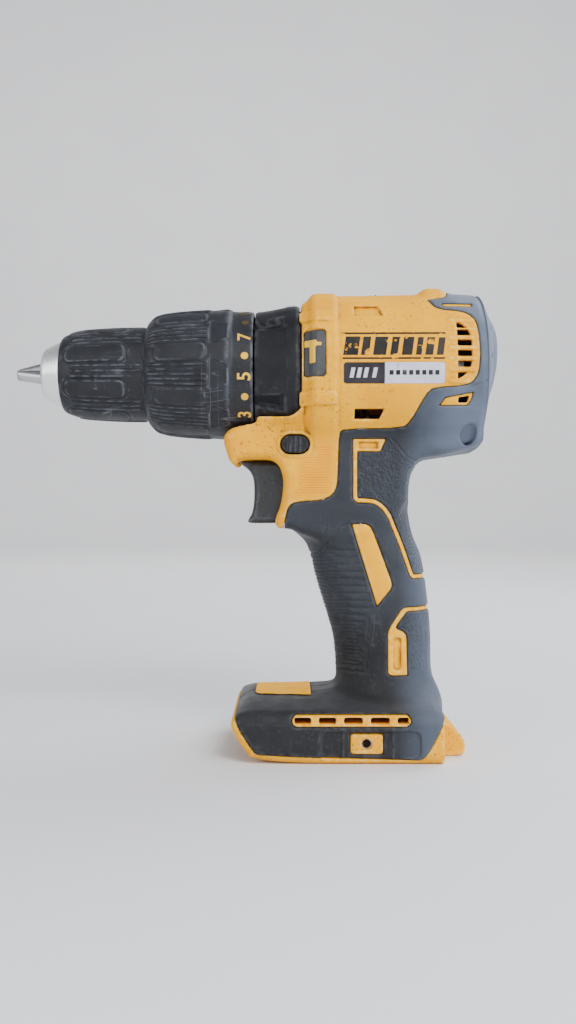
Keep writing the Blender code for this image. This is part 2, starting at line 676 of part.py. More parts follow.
# ---------------------------------------------------------------- controls and the rest
def controls(black, red, steel, green):
    trigger = soft_prism(TRIGGER, 9.6, 1.2)
    trigger.name = "trigger"
    finish(trigger, black, (10.0, 0, 105.0))
    spring = coil("trigger_spring", 3.0, 0.45, 22.4, 34.6, 5, 0.0, 105.0, steps=8, sides=5)
    finish(spring, steel)
    switch = joined("switch_module", [
        box((35.0, 53.4), (-9.5, 9.5), (96.5, 116.0)), box((30.0, 36.0), (-2.0, 2.0), (96.6, 99.6))])
    finish(switch, black)
    bar = pill(4.5, 2.2, -NECK_HALF, NECK_HALF, LEVER_X, LEVER_Z - 1.5)
    buttons = [pill(5.4, 3.4, *sorted((side * 13.2, side * (NECK_HALF + 2.6))), LEVER_X, LEVER_Z)
               for side in (-1, 1)]
    lever = joined("direction_lever", [bar] + buttons)
    finish(lever, black, (LEVER_X, 0, LEVER_Z))
    board = box((36.0, 51.0), (-9.2, -7.6), (68.0, 86.0))
    board.name = "control_board"
    finish(board, green)
    knob = joined("speed_selector", [
        box((KNOB_X - 9.0, KNOB_X + 9.0), (-7.4, 7.4), (AXIS_Z + 25.8, AXIS_Z + 27.1)),
        box((KNOB_X - 4.4, KNOB_X + 4.4), (-5.6, 5.6), (AXIS_Z + 26.5, AXIS_Z + 33.4))])
    finish(knob, black, (KNOB_X, 0, AXIS_Z + 28.0))


def foot_parts(black, brass, steel, glass):
    block = joined("terminal_block", [
        box((41.0, 61.0), (-21.0, 21.0), (RAIL_ROOF_Z + 4.4, RAIL_ROOF_Z + 7.4)),
        box((44.6, 57.4), (-18.4, 18.4), (RAIL_ROOF_Z - 2.0, RAIL_ROOF_Z + 5.0))])
    finish(block, black)
    for number, y in enumerate((-13.0, 0.0, 13.0), 1):
        blade = box((28.0, 44.3), (y - 0.4, y + 0.4), (RAIL_LIP_Z + 2.0, RAIL_ROOF_Z - 2.4))
        blade.name = f"battery_blade_{number}"
        finish(blade, brass)
    for name, side in (("left", -1), ("right", 1)):
        y = sorted((side * (RAIL_HALF + 0.5), side * (FOOT_HALF - 2.0)))
        nut = cross_rod(*y, HOOK_BORE_R - 0.4, HOOK_X, HOOK_Z, 12)
        cut(nut, cross_rod(y[0] - 1, y[1] + 1, 1.7, HOOK_X, HOOK_Z, 12))
        nut.name = f"belt_hook_nut_{name}"
        finish(nut, steel)
    lens = joined("led_lens", [rod(-11.2, -6.5, 2.9, 16, 0.0, 122.0), rod(-7.5, -5.5, 2.4, 16, 0.0, 122.0)])
    finish(lens, glass)


def main():
    clear_scene()
    yellow = material("yellow_shell", YELLOW, 0.5)
    black = material("black_plastic", BLACK, 0.55)
    rubber = material("black_rubber", (0.05, 0.05, 0.055), 0.8)
    steel = material("steel", STEEL, 0.35, 1.0)
    metal = material("black_metal", BLACK, 0.4, 0.6)
    copper = material("copper_windings", (0.55, 0.25, 0.12), 0.4, 0.8)
    brass = material("brass_contacts", (0.7, 0.5, 0.2), 0.35, 1.0)
    green = material("circuit_board", (0.03, 0.2, 0.08), 0.5)
    glass = material("clear_lens", (0.9, 0.92, 0.95), 0.1)
    housing(yellow, rubber, steel)
    rear_cap(rubber)
    gear_case(black, steel)
    gear_train(steel)
    chuck(steel, metal)
    clutch(black, steel)
    motor(steel, copper, green, black)
    controls(black, yellow, steel, green)
    foot_parts(black, brass, steel, glass)


main()
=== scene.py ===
# %% [markdown]
# # A compact hammer drill, dressed around its working model
#
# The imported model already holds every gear, screw and joint. This file gives the pieces a hand touches their real
# surfaces: the dusty yellow shell, the black rubber moulded over it, the torque collar and the keyless chuck.
# Lengths are written in millimetres, as on a drawing, and turned into metres once, when a mesh is made.

# %% Load the model
import json
import math

import bmesh
import bpy
import numpy as np
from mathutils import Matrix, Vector


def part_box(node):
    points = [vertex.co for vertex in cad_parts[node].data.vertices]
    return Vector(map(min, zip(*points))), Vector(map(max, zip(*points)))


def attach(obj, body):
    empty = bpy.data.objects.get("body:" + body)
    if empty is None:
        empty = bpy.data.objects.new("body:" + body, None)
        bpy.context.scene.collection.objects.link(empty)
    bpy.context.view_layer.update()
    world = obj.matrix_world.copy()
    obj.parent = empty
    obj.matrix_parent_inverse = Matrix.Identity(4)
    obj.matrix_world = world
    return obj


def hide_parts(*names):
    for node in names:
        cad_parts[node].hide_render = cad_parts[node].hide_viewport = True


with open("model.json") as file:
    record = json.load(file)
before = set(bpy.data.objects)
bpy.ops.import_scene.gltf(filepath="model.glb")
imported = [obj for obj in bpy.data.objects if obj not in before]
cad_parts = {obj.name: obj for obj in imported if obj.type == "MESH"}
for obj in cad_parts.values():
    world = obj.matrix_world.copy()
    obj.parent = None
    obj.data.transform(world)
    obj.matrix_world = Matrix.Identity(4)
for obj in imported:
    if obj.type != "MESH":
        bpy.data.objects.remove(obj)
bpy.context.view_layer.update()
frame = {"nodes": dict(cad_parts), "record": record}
MM = 0.001


def node_box(name):
    """A node's lowest and highest corners in millimetres."""
    low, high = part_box(name)
    return np.array(low) / MM, np.array(high) / MM


# %% [markdown]
# ## Places that everything else is measured from
#
# The chuck, collar, gearbox and motor all turn about one line. Its height and the ends of the main pieces come from
# the working model, so nothing has to be fitted by eye.

# %% Driving places
spindle_low, spindle_high = node_box("spindle")
AXIS_Z = float(spindle_low[2] + spindle_high[2]) / 2
shell_low, shell_high = node_box("housing_left")
FOOT_HALF = -float(shell_low[1])
BARREL_END = float(shell_high[0])
NECK_HALF = 17.5
BARREL_START = 18.9
print("axis height", round(AXIS_Z, 2), "foot half width", FOOT_HALF, "barrel ends at", BARREL_END)

# %% [markdown]
# ## The camera and the room
#
# The tool is seen square on from its left side, level with the middle of the grip, from 400 mm away. A large matt
# floor that curves up far behind the tool keeps every view plain and pale.

# %% Camera
def linked(name, data):
    """A new object in the scene that shows the data."""
    made = bpy.data.objects.new(name, data)
    bpy.context.scene.collection.objects.link(made)
    return made


def add_camera():
    """A level camera in front of the grip, looking along Y."""
    lens = bpy.data.cameras.new("camera")
    lens.lens, lens.sensor_width, lens.clip_start = 33.75, 36.0, 0.01
    made = linked("camera", lens)
    made.location = (0.0135, -0.400, 0.097)
    made.rotation_euler = (math.radians(90.0), 0.0, 0.0)
    bpy.context.scene.camera = made


add_camera()


# %% Floor and lights
def add_area_light(name, place, target, size, power, color=(1, 1, 1)):
    """A square soft light at a place, facing a target, in metres."""
    lamp = bpy.data.lights.new(name, "AREA")
    lamp.shape, lamp.size, lamp.energy, lamp.color = "SQUARE", size, power, color
    made = linked(name, lamp)
    made.location = place
    made.rotation_euler = (Vector(target) - Vector(place)).to_track_quat("-Z", "Y").to_euler()
    made.visible_camera = False
    return made


def add_floor():
    """A round floor whose rim sweeps up in a quarter circle and carries on as a wall, in metres."""
    reach, bend, top = 2.2, 0.8, 3.0
    turn = np.linspace(0, np.pi / 2, 14)
    radius = np.concatenate([[0.0, 0.6, 1.4], reach + bend * np.sin(turn), [reach + bend]])
    height = np.concatenate([[0.0, 0.0, 0.0], bend - bend * np.cos(turn), [top]])
    around = np.linspace(0, 2 * np.pi, 97)[:-1]
    points = np.stack([radius[:, None] * np.cos(around), radius[:, None] * np.sin(around),
                       height[:, None] + 0 * around], -1)
    return grid_mesh("floor", points / MM, wrap=True)


# %% [markdown]
# ## From arrays to meshes
#
# Two kinds of surface are enough. A *grid* is a shape worked out as a function of two parameters: turned pieces and
# decals are grids. A *skin* is the zero level of a distance field on a 3-D lattice, and it suits moulded shells,
# where a barrel, a neck, a grip and a foot melt into one another and where slots are cut. Both are worked out as
# whole arrays and handed to Blender in one go.

# %% Grid surfaces
def mesh_object(name, points, quads):
    """An object from points in millimetres and rows of four (or three) corner numbers."""
    mesh = bpy.data.meshes.new(name)
    points = np.asarray(points, np.float32).reshape(-1, 3) * MM
    quads = np.asarray(quads, np.int32)
    sides = quads.shape[1]
    mesh.vertices.add(len(points))
    mesh.vertices.foreach_set("co", points.ravel())
    mesh.loops.add(quads.size)
    mesh.loops.foreach_set("vertex_index", quads.ravel())
    mesh.polygons.add(len(quads))
    mesh.polygons.foreach_set("loop_start", np.arange(0, quads.size, sides, dtype=np.int32))
    mesh.update(calc_edges=True)
    mesh.validate()
    mesh.shade_smooth()
    return linked(name, mesh)


def stands_for(piece, body, *nodes):
    """The piece rides on a body and takes the place of the nodes."""
    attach(piece, body)
    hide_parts(*nodes)
    return piece


def grid_mesh(name, points, wrap=False, closed=False):
    """Quads over a (rows, columns, 3) grid.

    wrap joins the last column to the first, and closed the last row to the first."""
    rows, columns = points.shape[:2]
    index = np.arange(rows * columns).reshape(rows, columns)
    top, down = (index, np.roll(index, -1, 0)) if closed else (index[:-1], index[1:])
    if wrap:
        corners = top, np.roll(top, -1, 1), np.roll(down, -1, 1), down
    else:
        corners = top[:, :-1], top[:, 1:], down[:, 1:], down[:, :-1]
    return mesh_object(name, points, np.stack(corners, -1).reshape(-1, 4))


def face_outwards(made):
    """Merge doubles and turn every face outwards."""
    shape = bmesh.new()
    shape.from_mesh(made.data)
    bmesh.ops.remove_doubles(shape, verts=shape.verts, dist=1e-7)
    bmesh.ops.recalc_face_normals(shape, faces=shape.faces)
    shape.to_mesh(made.data)
    shape.free()
    made.data.shade_smooth()
    return made


# %% Skins of distance fields
def lattice(low, high, step):
    """Three broadcastable axes that cover a box from low to high."""
    counts = [int(math.ceil((b - a) / step)) + 1 for a, b in zip(low, high)]
    axes = [np.float32(a) + np.arange(n, dtype=np.float32) * np.float32(step) for a, n in zip(low, counts)]
    return axes[0][:, None, None], axes[1][None, :, None], axes[2][None, None, :]


def skin(name, field, low, high, step):
    """The surface where field(x, y, z) is zero, by surface nets.

    Each lattice cell that the surface crosses holds one vertex, at the mean of its edges' crossings, and each
    crossed lattice edge makes one quad between the four cells around it. Newton steps along the field's gradient
    then carry the vertices onto the true surface."""
    x, y, z = lattice(low, high, step)
    value = np.broadcast_to(field(x, y, z), (x.size, y.size, z.size)).astype(np.float32)
    inside = value < 0
    cells = tuple(n - 1 for n in value.shape)
    total = np.zeros(cells + (3,), np.float32)
    count = np.zeros(cells, np.float32)
    corners = np.indices((2, 2, 2)).reshape(3, -1).T
    crossings = {}
    for axis in range(3):
        ahead, behind = [slice(None)] * 3, [slice(None)] * 3
        ahead[axis], behind[axis] = slice(1, None), slice(None, -1)
        v0, v1 = value[tuple(behind)], value[tuple(ahead)]
        crossed = crossings[axis] = inside[tuple(behind)] != inside[tuple(ahead)]
        share = np.where(crossed, v0 / np.where(crossed, v0 - v1, 1), 0).astype(np.float32)
        for corner in corners[corners[:, axis] == 0]:
            window = tuple(slice(c, c + n) for c, n in zip(corner, cells))
            hit = crossed[window]
            count += hit
            for other in range(3):
                total[..., other] += hit * (share[window] if other == axis else np.float32(corner[other]))
    used = count > 0
    number = np.full(cells, -1, np.int32)
    number[used] = np.arange(used.sum())
    place = np.stack(np.nonzero(used), -1) + total[used] / count[used][:, None]
    points = np.array([x.flat[0], y.flat[0], z.flat[0]], np.float32) + place.astype(np.float32) * np.float32(step)
    quads = []
    for axis in range(3):
        one, two = (axis + 1) % 3, (axis + 2) % 3
        crossed = crossings[axis].copy()
        for side in (one, two):
            for rim in (0, -1):
                edge = [slice(None)] * 3
                edge[side] = rim
                crossed[tuple(edge)] = False
        at = np.stack(np.nonzero(crossed), -1)
        around = []
        for a, b in ((0, 0), (-1, 0), (-1, -1), (0, -1)):
            cell = at.copy()
            cell[:, one] += a
            cell[:, two] += b
            around.append(number[cell[:, 0], cell[:, 1], cell[:, 2]])
        quad = np.stack(around, -1)
        flip = inside[at[:, 0], at[:, 1], at[:, 2]]
        quads.append(np.where(flip[:, None], quad, quad[:, ::-1]))
    print(name, len(points), "points")
    return mesh_object(name, settled(field, points, step), np.concatenate(quads))


def settled(field, points, step):
    """Points moved onto the field's zero level in two Newton steps, p - f grad f / |grad f|^2, each kept short."""
    reach = 0.05
    for _ in range(2):
        x, y, z = points.T
        slope = np.stack([field(x + reach, y, z) - field(x - reach, y, z),
                          field(x, y + reach, z) - field(x, y - reach, z),
                          field(x, y, z + reach) - field(x, y, z - reach)], -1) / (2 * reach)
        steep = np.maximum((slope ** 2).sum(-1), 0.2)
        move = np.clip(field(x, y, z) / steep, -0.4 * step, 0.4 * step)
        points = points - move[:, None] * slope
    return points


# %% [markdown]
# ## Distance fields as a drawing kit
#
# A field says how far a point is from a shape, negative inside. Two shapes join with a minimum and cut with a
# maximum. The soft versions of those leave the small fillets that a moulding tool leaves.

# %% Field helpers
def blend_min(a, b, radius):
    """The union of two fields with a fillet of about the radius."""
    mix = np.clip(0.5 + 0.5 * (b - a) / radius, 0, 1)
    return b + (a - b) * mix - radius * mix * (1 - mix)


def blend_max(a, b, radius):
    """The common part of two fields with a rounded edge."""
    return -blend_min(-a, -b, radius)


def outline_distance(outline, x, z):
    """Signed distance in the x-z plane to a closed outline: the nearest edge, with the sign by counting crossings."""
    corners = np.asarray(outline, np.float32)
    nearest, inside = np.float32(1e12), np.zeros(np.broadcast(x, z).shape, bool)
    for (ax, az), (bx, bz) in zip(corners, np.roll(corners, -1, 0)):
        ex, ez = bx - ax, bz - az
        wx, wz = x - ax, z - az
        along = np.clip((wx * ex + wz * ez) / (ex * ex + ez * ez + 1e-9), 0, 1)
        nearest = np.minimum(nearest, (wx - ex * along) ** 2 + (wz - ez * along) ** 2)
        inside ^= ((az <= z) != (bz <= z)) & ((ex * wz - ez * wx > 0) == (bz > az))
    return np.where(inside, -1, 1).astype(np.float32) * np.sqrt(nearest)


def rounded_outline(outline, rounds=2):
    """Chaikin's corner cutting: every corner is replaced by points a quarter of the way along its edges."""
    points = np.asarray(outline, float)
    for _ in range(rounds):
        after = np.roll(points, -1, 0)
        points = np.stack([0.75 * points + 0.25 * after, 0.25 * points + 0.75 * after], 1).reshape(-1, 2)
    return points


def path_distance(path, x, z):
    """Distance in the x-z plane to an open path."""
    corners = np.asarray(path, np.float32)
    nearest = np.float32(1e12)
    for (ax, az), (bx, bz) in zip(corners[:-1], corners[1:]):
        ex, ez = bx - ax, bz - az
        along = np.clip(((x - ax) * ex + (z - az) * ez) / (ex * ex + ez * ez + 1e-9), 0, 1)
        nearest = np.minimum(nearest, (x - ax - ex * along) ** 2 + (z - az - ez * along) ** 2)
    return np.sqrt(nearest)


def drawn_across(flat, y, half, edge):
    """An outline's distance drawn out to +-half along Y, with its long edges rounded by the radius edge."""
    a, b = flat + edge, np.abs(y) - half + edge
    return np.minimum(np.maximum(a, b), 0) + np.hypot(np.maximum(a, 0), np.maximum(b, 0)) - edge


def slab(x0, x1, z0, z1, x, z, corner=0.6):
    """A rectangle in the x-z plane with rounded corners."""
    a = np.abs(x - (x0 + x1) / 2) - (x1 - x0) / 2 + corner
    b = np.abs(z - (z0 + z1) / 2) - (z1 - z0) / 2 + corner
    return np.minimum(np.maximum(a, b), 0) + np.hypot(np.maximum(a, 0), np.maximum(b, 0)) - corner


# %% [markdown]
# ## The body as one field
#
# The real shell is designed as one flowing form before it is split into halves and into yellow and rubber. The same
# order works here: barrel, neck, grip and foot are joined once, and every moulded piece is cut from that form.

# %% Outlines of the body, x and z
NECK = [(1.0, 136.0), (-9.0, 131.0), (-12.0, 128.4), (-12.4, 125.0), (-11.2, 121.0), (-9.6, 116.6),
        (-7.4, 115.8), (-6.0, 117.9), (4.0, 118.3), (7.6, 117.7), (10.2, 115.4), (11.5, 111.4), (11.7, 107.4),
        (10.6, 99.6), (8.5, 94.6), (8.3, 91.8), (10.2, 90.2), (14.0, 91.0), (21.0, 87.6), (40.0, 84.0),
        (60.0, 98.0), (61.0, 112.0), (64.6, 117.2), (67.5, 119.2), (75.8, 120.3), (84.7, 123.0), (89.4, 124.8),
        (90.7, 127.0), (90.7, 140.0), (40.0, 142.0)]
FOOT = [(0.8, 0.0), (73.0, 0.0), (80.8, 0.0), (83.6, 0.8), (84.0, 3.2), (83.7, 6.2), (81.8, 9.0), (78.4, 12.0),
        (74.8, 14.2), (74.4, 16.0), (74.4, 19.0), (72.0, 25.0), (66.0, 30.0), (40.0, 29.0), (22.0, 24.6),
        (0.0, 24.4), (-3.4, 24.0),
        (-7.6, 22.0), (-9.0, 19.0), (-8.8, 14.0), (-4.4, 6.4)]
GRIP_LEVELS = np.array([20.0, 30.4, 36.0, 45.8, 54.0, 63.9, 72.9, 79.7, 87.8, 97.4, 106.2, 112.6, 118.2, 128.0])
GRIP_FRONT = np.array([36.0, 33.9, 33.6, 32.7, 30.4, 27.2, 24.6, 23.4, 20.4, 16.0, 14.0, 14.0, 14.0, 14.0])
GRIP_REAR = np.array([76.0, 72.4, 72.0, 72.0, 71.5, 70.4, 69.2, 67.9, 64.2, 62.4, 62.0, 62.6, 64.9, 72.0])
GRIP_WIDE = np.array([20.0, 16.6, 16.2, 16.2, 16.4, 16.9, 17.3, 17.5, 17.5, 17.3, 17.2, 17.2, 17.4, 18.0])
BARREL_PLACES = np.array([10.0, 18.9, 21.4, 23.0, 24.4, 32.0, 33.6, 45.0, 66.0, 80.0, 88.6, 90.7])
BARREL_RADII = np.array([28.4, 28.5, 30.4, 32.4, 33.1, 33.1, 32.1, 32.2, 32.6, 32.5, 32.0, 30.8])


def smooth_table(places, values, spread):
    """The table's straight-line values, averaged over a moving window, as a fine lookup."""
    fine = np.linspace(places[0], places[-1], 800)
    raw = np.interp(fine, places, values)
    width = max(1, int(spread / (fine[1] - fine[0])))
    window = np.hanning(2 * width + 1)
    padded = np.pad(raw, width, mode="edge")
    return fine, np.convolve(padded, window / window.sum(), mode="valid")


grip_front = smooth_table(GRIP_LEVELS, GRIP_FRONT, 6)
grip_rear = smooth_table(GRIP_LEVELS, GRIP_REAR, 6)
grip_wide = smooth_table(GRIP_LEVELS, GRIP_WIDE, 6)
barrel_radius = smooth_table(BARREL_PLACES, BARREL_RADII, 0.7)


def drawn(flat, grid=0.25):
    """A flat field worked out once on a fine sheet, then looked up by bilinear interpolation."""
    xs, zs = np.arange(-26, 106, grid, np.float32), np.arange(-6, 200, grid, np.float32)
    sheet = np.broadcast_to(flat(xs[:, None], zs[None, :]), (xs.size, zs.size)).astype(np.float32)

    def look(x, z):
        u = np.clip((x - xs[0]) / grid, 0, xs.size - 1.001)
        v = np.clip((z - zs[0]) / grid, 0, zs.size - 1.001)
        i, j = u.astype(int), v.astype(int)
        a, b = (u - i).astype(np.float32), (v - j).astype(np.float32)
        low = sheet[i, j] * (1 - a) + sheet[i + 1, j] * a
        high = sheet[i, j + 1] * (1 - a) + sheet[i + 1, j + 1] * a
        return low * (1 - b) + high * b
    return look


neck_flat = drawn(lambda x, z: outline_distance(rounded_outline(NECK, 1), x, z))
foot_flat = drawn(lambda x, z: outline_distance(rounded_outline(FOOT, 2), x, z))


def barrel_gap(x, y, z):
    """The distance from the chuck axis less the barrel's radius at x."""
    return np.hypot(y, z - AXIS_Z) - np.interp(x, *barrel_radius).astype(np.float32)


def barrel_field(x, y, z):
    """The motor barrel: the gap to its round form, less a hump at the top rear, with rounded ends."""
    around = barrel_gap(x, y, z)
    hump = 2.7 * np.exp(-((x - 72.6) / 5.2) ** 4 - (y / 15) ** 4) * (z > AXIS_Z)
    around = around - hump.astype(np.float32)
    ends = np.maximum(BARREL_START - x, x - BARREL_END)
    return blend_max(around, ends, 0.8)


def grip_field(x, y, z):
    """The handle: a superellipse whose front, rear and width follow the height."""
    front, rear = np.interp(z, *grip_front), np.interp(z, *grip_rear)
    wide, reach = np.interp(z, *grip_wide), (rear - front) / 2
    across = (np.abs(x - (front + rear) / 2) / reach) ** 2.3 + (np.abs(y) / wide) ** 2.3
    body = (across ** (1 / 2.3) - 1) * np.minimum(reach, wide)
    return np.maximum(body, np.maximum(20 - z, z - 128)).astype(np.float32)


CASE_ROOM_PLACES, CASE_ROOM_RADII = [0.9, 4.0, 12.0, 13.4, 18.6], [26.2, 26.4, 27.9, 28.5, 28.7]


def cradle_field(x, y, z):
    """The cup in front of the barrel that holds the gear case from below."""
    around = np.hypot(y, z - AXIS_Z) - np.interp(x, CASE_ROOM_PLACES, CASE_ROOM_RADII) - 1.7
    rim = z - 134.7 - 3.4 * np.clip((x - 13.0) / 5.9, 0, 1) ** 2
    cup = blend_max(around, rim, 0.8)
    return blend_max(cup, np.maximum(1.7 - x, x - 19.6), 0.8).astype(np.float32)


def body_field(x, y, z):
    """Barrel, neck, grip and foot joined with moulded fillets, less the space of the collar and gear case."""
    neck = drawn_across(neck_flat(x, z), y, NECK_HALF, 4.0)
    foot = drawn_across(foot_flat(x, z), y, FOOT_HALF, 4.0)
    shoulder = z - 25.5 + 0.27 * np.maximum(np.abs(y) - 9.0, 0)
    brow = 0.78 * (z - 17.6) - 0.63 * (x + 8.4)
    foot = blend_max(blend_max(foot, shoulder, 5.0), brow, 3.0)
    foot = blend_max(foot, -np.maximum(73.6 - x, 18.6 - np.abs(y)), 0.8)
    handle = blend_min(neck, grip_field(x, y, z), 5.0)
    head = blend_min(barrel_field(x, y, z), cradle_field(x, y, z), 0.8)
    whole = blend_min(blend_min(handle, foot, 6.0), head, 4.0)
    room = np.interp(x, CASE_ROOM_PLACES, CASE_ROOM_RADII)
    front_room = np.maximum(np.hypot(y, z - AXIS_Z) - room, x - BARREL_START + 0.3)
    collar_room = np.maximum(np.hypot(y, z - AXIS_Z) - 27.6, x - 1.0)
    return blend_max(blend_max(whole, -front_room, 0.5), -collar_room, 0.5)


print("body field is", float(body_field(50.0, 0.0, 60.0)), "mm in the middle of the grip")


# %% [markdown]
# ## Where the yellow ends and the rubber begins
#
# The shell is moulded in yellow nylon first, then put in a second mould that adds the black rubber. The line between
# them is drawn on the side view, as the mould maker draws it, and carried straight across the tool.

# %% Lines between yellow and rubber, x and z
HEAD_YELLOW = [(-26, 199), (78.6, 199), (78.2, 186.6), (76.9, 183.4), (75.6, 182.6), (68.9, 181.2), (68.9, 181.2),
               (72.0, 176.6), (81.6, 175.7), (85.4, 173.4), (87.2, 168.9),
               (87.4, 153.4), (85.6, 147.8), (81.8, 145.6), (70.6, 144.9), (68.0, 143.8), (66.0, 141.0),
               (61.6, 132.6), (58.6, 130.0), (35.6, 129.8), (33.8, 128.2), (33.5, 113.8), (33.0, 107.0), (31.2, 103.7),
               (27.4, 101.7), (18.1, 101.1), (15.1, 100.4), (13.5, 98.6), (12.5, 95.2), (12.0, 91.4), (10.5, 80),
               (-26, 80)]
FOOT_RIM = [(-26, -6), (105, -6), (105, 17.4), (74.0, 17.4), (72.6, 14.6), (68.0, 5.8), (65.4, 2.2), (62.0, 1.7),
            (2.6, 3.7), (0.2, 5.0), (-7.0, 16.6), (-7.2, 22.0), (-8.4, 26), (-26, 26)]
STRIPE_BAR = [(39.2, 126.2), (52.6, 126.2), (50.2, 121.0), (40.9, 121.0), (39.2, 121.0)]
STRIPE_LINE = [(40.2, 124.0), (40.2, 123.9), (40.2, 106.0), (40.2, 101.6), (44.2, 101.6), (49.0, 101.0), (53.2, 96.8),
               (56.2, 90.6), (59.3, 82.9), (62.3, 74.2), (63.5, 70.9), (66.2, 70.9), (72.0, 70.9)]
GRIP_WINDOW = [(38.8, 92.2), (44.2, 92.4), (46.2, 91.4), (47.6, 89.0), (54.8, 69.6), (55.1, 67.6), (54.4, 65.8),
               (49.0, 59.2)]
LOWER_FRAME = [(72.0, 58.8), (61.2, 58.8), (59.8, 58.5), (58.4, 57.3), (54.4, 51.2), (53.6, 49.4), (53.3, 47.6),
               (53.3, 33.4), (53.6, 32.2), (54.6, 31.5), (61.5, 31.5), (61.1, 46.4), (60.8, 47.9), (59.7, 49.1),
               (57.0, 50.3), (56.8, 50.9), (57.6, 52.4), (60.9, 56.6), (62.0, 57.0), (72.0, 57.0)]
LOWER_PATCH = [(70.4, 56.9), (60.9, 56.9), (56.6, 51.0), (56.9, 50.2), (60.4, 48.2), (61.5, 45.6), (61.5, 32.4),
               (70.4, 32.4)]
RIBBED_PAD = [(20.0, 79.8), (26.0, 80.6), (29.2, 84.0), (31.7, 88.6), (34.2, 91.6), (38.4, 92.4), (49.1, 59.0),
              (46.2, 55.2), (45.1, 50.6), (45.0, 32.9), (20.0, 32.9)]
SADDLE = [(41.0, 121.0), (50.2, 121.0), (53.0, 126.0), (56.0, 124.6), (60.0, 119.6), (66.0, 116.0), (72, 110), (72, 71),
          (67.0, 70.8), (64.0, 71.3), (62.3, 74.2), (59.3, 82.9), (56.2, 90.6), (53.6, 95.8), (50.1, 99.2),
          (45.4, 101.2), (42.6, 101.4), (40.2, 104.0)]
LOWER_SLOT = [(39.4, 137.2), (51.0, 137.2), (49.2, 133.4), (39.4, 133.4)]
UPPER_SLOT = [(39.4, 178.2), (48.8, 178.2), (50.8, 173.6), (39.4, 173.6)]
REAR_VENT = [(72.0, 138.2), (74.2, 141.2), (84.9, 143.2), (84.3, 140.4), (83.0, 138.3)]
REAR_OPENING = [(79.2, 139.3), (79.4, 141.4), (83.6, 142.0), (82.8, 139.3)]


def drawn_line(outline, rounds=1):
    """A closed line on the side view, with its corners cut, as a flat field."""
    return drawn(lambda x, z: outline_distance(rounded_outline(outline, rounds) if rounds else outline, x, z))


head_yellow, foot_rim = drawn_line(HEAD_YELLOW), drawn_line(FOOT_RIM)
grip_window, lower_frame = drawn_line(GRIP_WINDOW, 0), drawn_line(LOWER_FRAME, 0)
stripe_bar = drawn_line(STRIPE_BAR, 0)
stripe_line = drawn(lambda x, z: path_distance(rounded_outline(STRIPE_LINE, 1)[:-2], x, z) - 0.95)
ribbed_pad, saddle, lower_patch = drawn_line(RIBBED_PAD, 0), drawn_line(SADDLE, 0), drawn_line(LOWER_PATCH, 0)
lower_slot, upper_slot = drawn_line(LOWER_SLOT, 0), drawn_line(UPPER_SLOT, 0)
rear_vent, rear_opening = drawn_line(REAR_VENT, 0), drawn_line(REAR_OPENING, 0)


def foot_vent_frame(x, z):
    """The long frame round the five vents of the foot."""
    return slab(15.0, 60.6, 14.8, 19.1, x, z, 2.1)


def hook_plate(x, z):
    """The plate round the belt hook's screw."""
    return slab(37.4, 50.0, 4.1, 11.9, x, z, 1.2)


def foot_pad(x, z):
    """The plain pad on the front of the foot."""
    return slab(-1.9, 22.9, 23.3, 40.0, x, z, 0.8)


def islands(x, z):
    """The yellow inlays in the rubber: grip stripe, windows, frames round vents and the hook plate."""
    marks = [stripe_bar(x, z), stripe_line(x, z), grip_window(x, z), lower_frame(x, z), rear_vent(x, z),
             slab(74.2, 86.0, 177.9, 179.2, x, z, 0.6), foot_vent_frame(x, z), hook_plate(x, z), foot_pad(x, z)]
    return np.minimum.reduce(np.broadcast_arrays(*marks))


yellow_flat = drawn(lambda x, z: np.minimum(np.minimum(head_yellow(x, z), foot_rim(x, z)), islands(x, z)))
print("yellow at the label:", float(yellow_flat(np.float32(50), np.float32(150))) < 0,
      "and on the grip:", float(yellow_flat(np.float32(60), np.float32(65))) < 0)

# %% [markdown]
# ## Slots, ribs and recesses
#
# Each feature is a pocket of a certain depth or a pad of a certain height in a flat outline. Written this way a
# vent is one short line, and it follows the curve of the barrel by itself.


# %% Pockets and pads
def pocket(body, flat, depth, edge=0.35):
    """The body with the outline sunk by the depth."""
    return blend_max(body, -blend_max(flat, -(body + depth), edge), edge)


def pad(body, flat, height, edge=0.35):
    """The body with the outline raised by the height."""
    return blend_min(body, blend_max(flat, body - height, edge), edge)


FAR = 9.0
VENT_HEIGHTS = [169.3, 166.3, 162.15, 158.05, 153.9, 149.5]
FIN_HEIGHTS = [171.6, 167.8, 164.2, 160.1, 156.0, 151.7, 147.2]
FOOT_VENTS = [(16.0, 22.4), (25.3, 31.9), (34.9, 42.2), (45.2, 52.5), (55.4, 59.8)]
BUTTON_X, BUTTON_Z = 16.3, 124.0
screw_places = [(name, node_box(name)) for name in sorted(frame["nodes"]) if name.startswith("housing_screw")]
SCREWS = [((low[0] + high[0]) / 2, (low[2] + high[2]) / 2, high[1]) for name, (low, high) in screw_places]


def pill(half_length, half_height, x, z):
    """A long hole with round ends round the direction button."""
    return np.hypot(np.maximum(np.abs(x - BUTTON_X) - half_length + half_height, 0), z - BUTTON_Z) - half_height


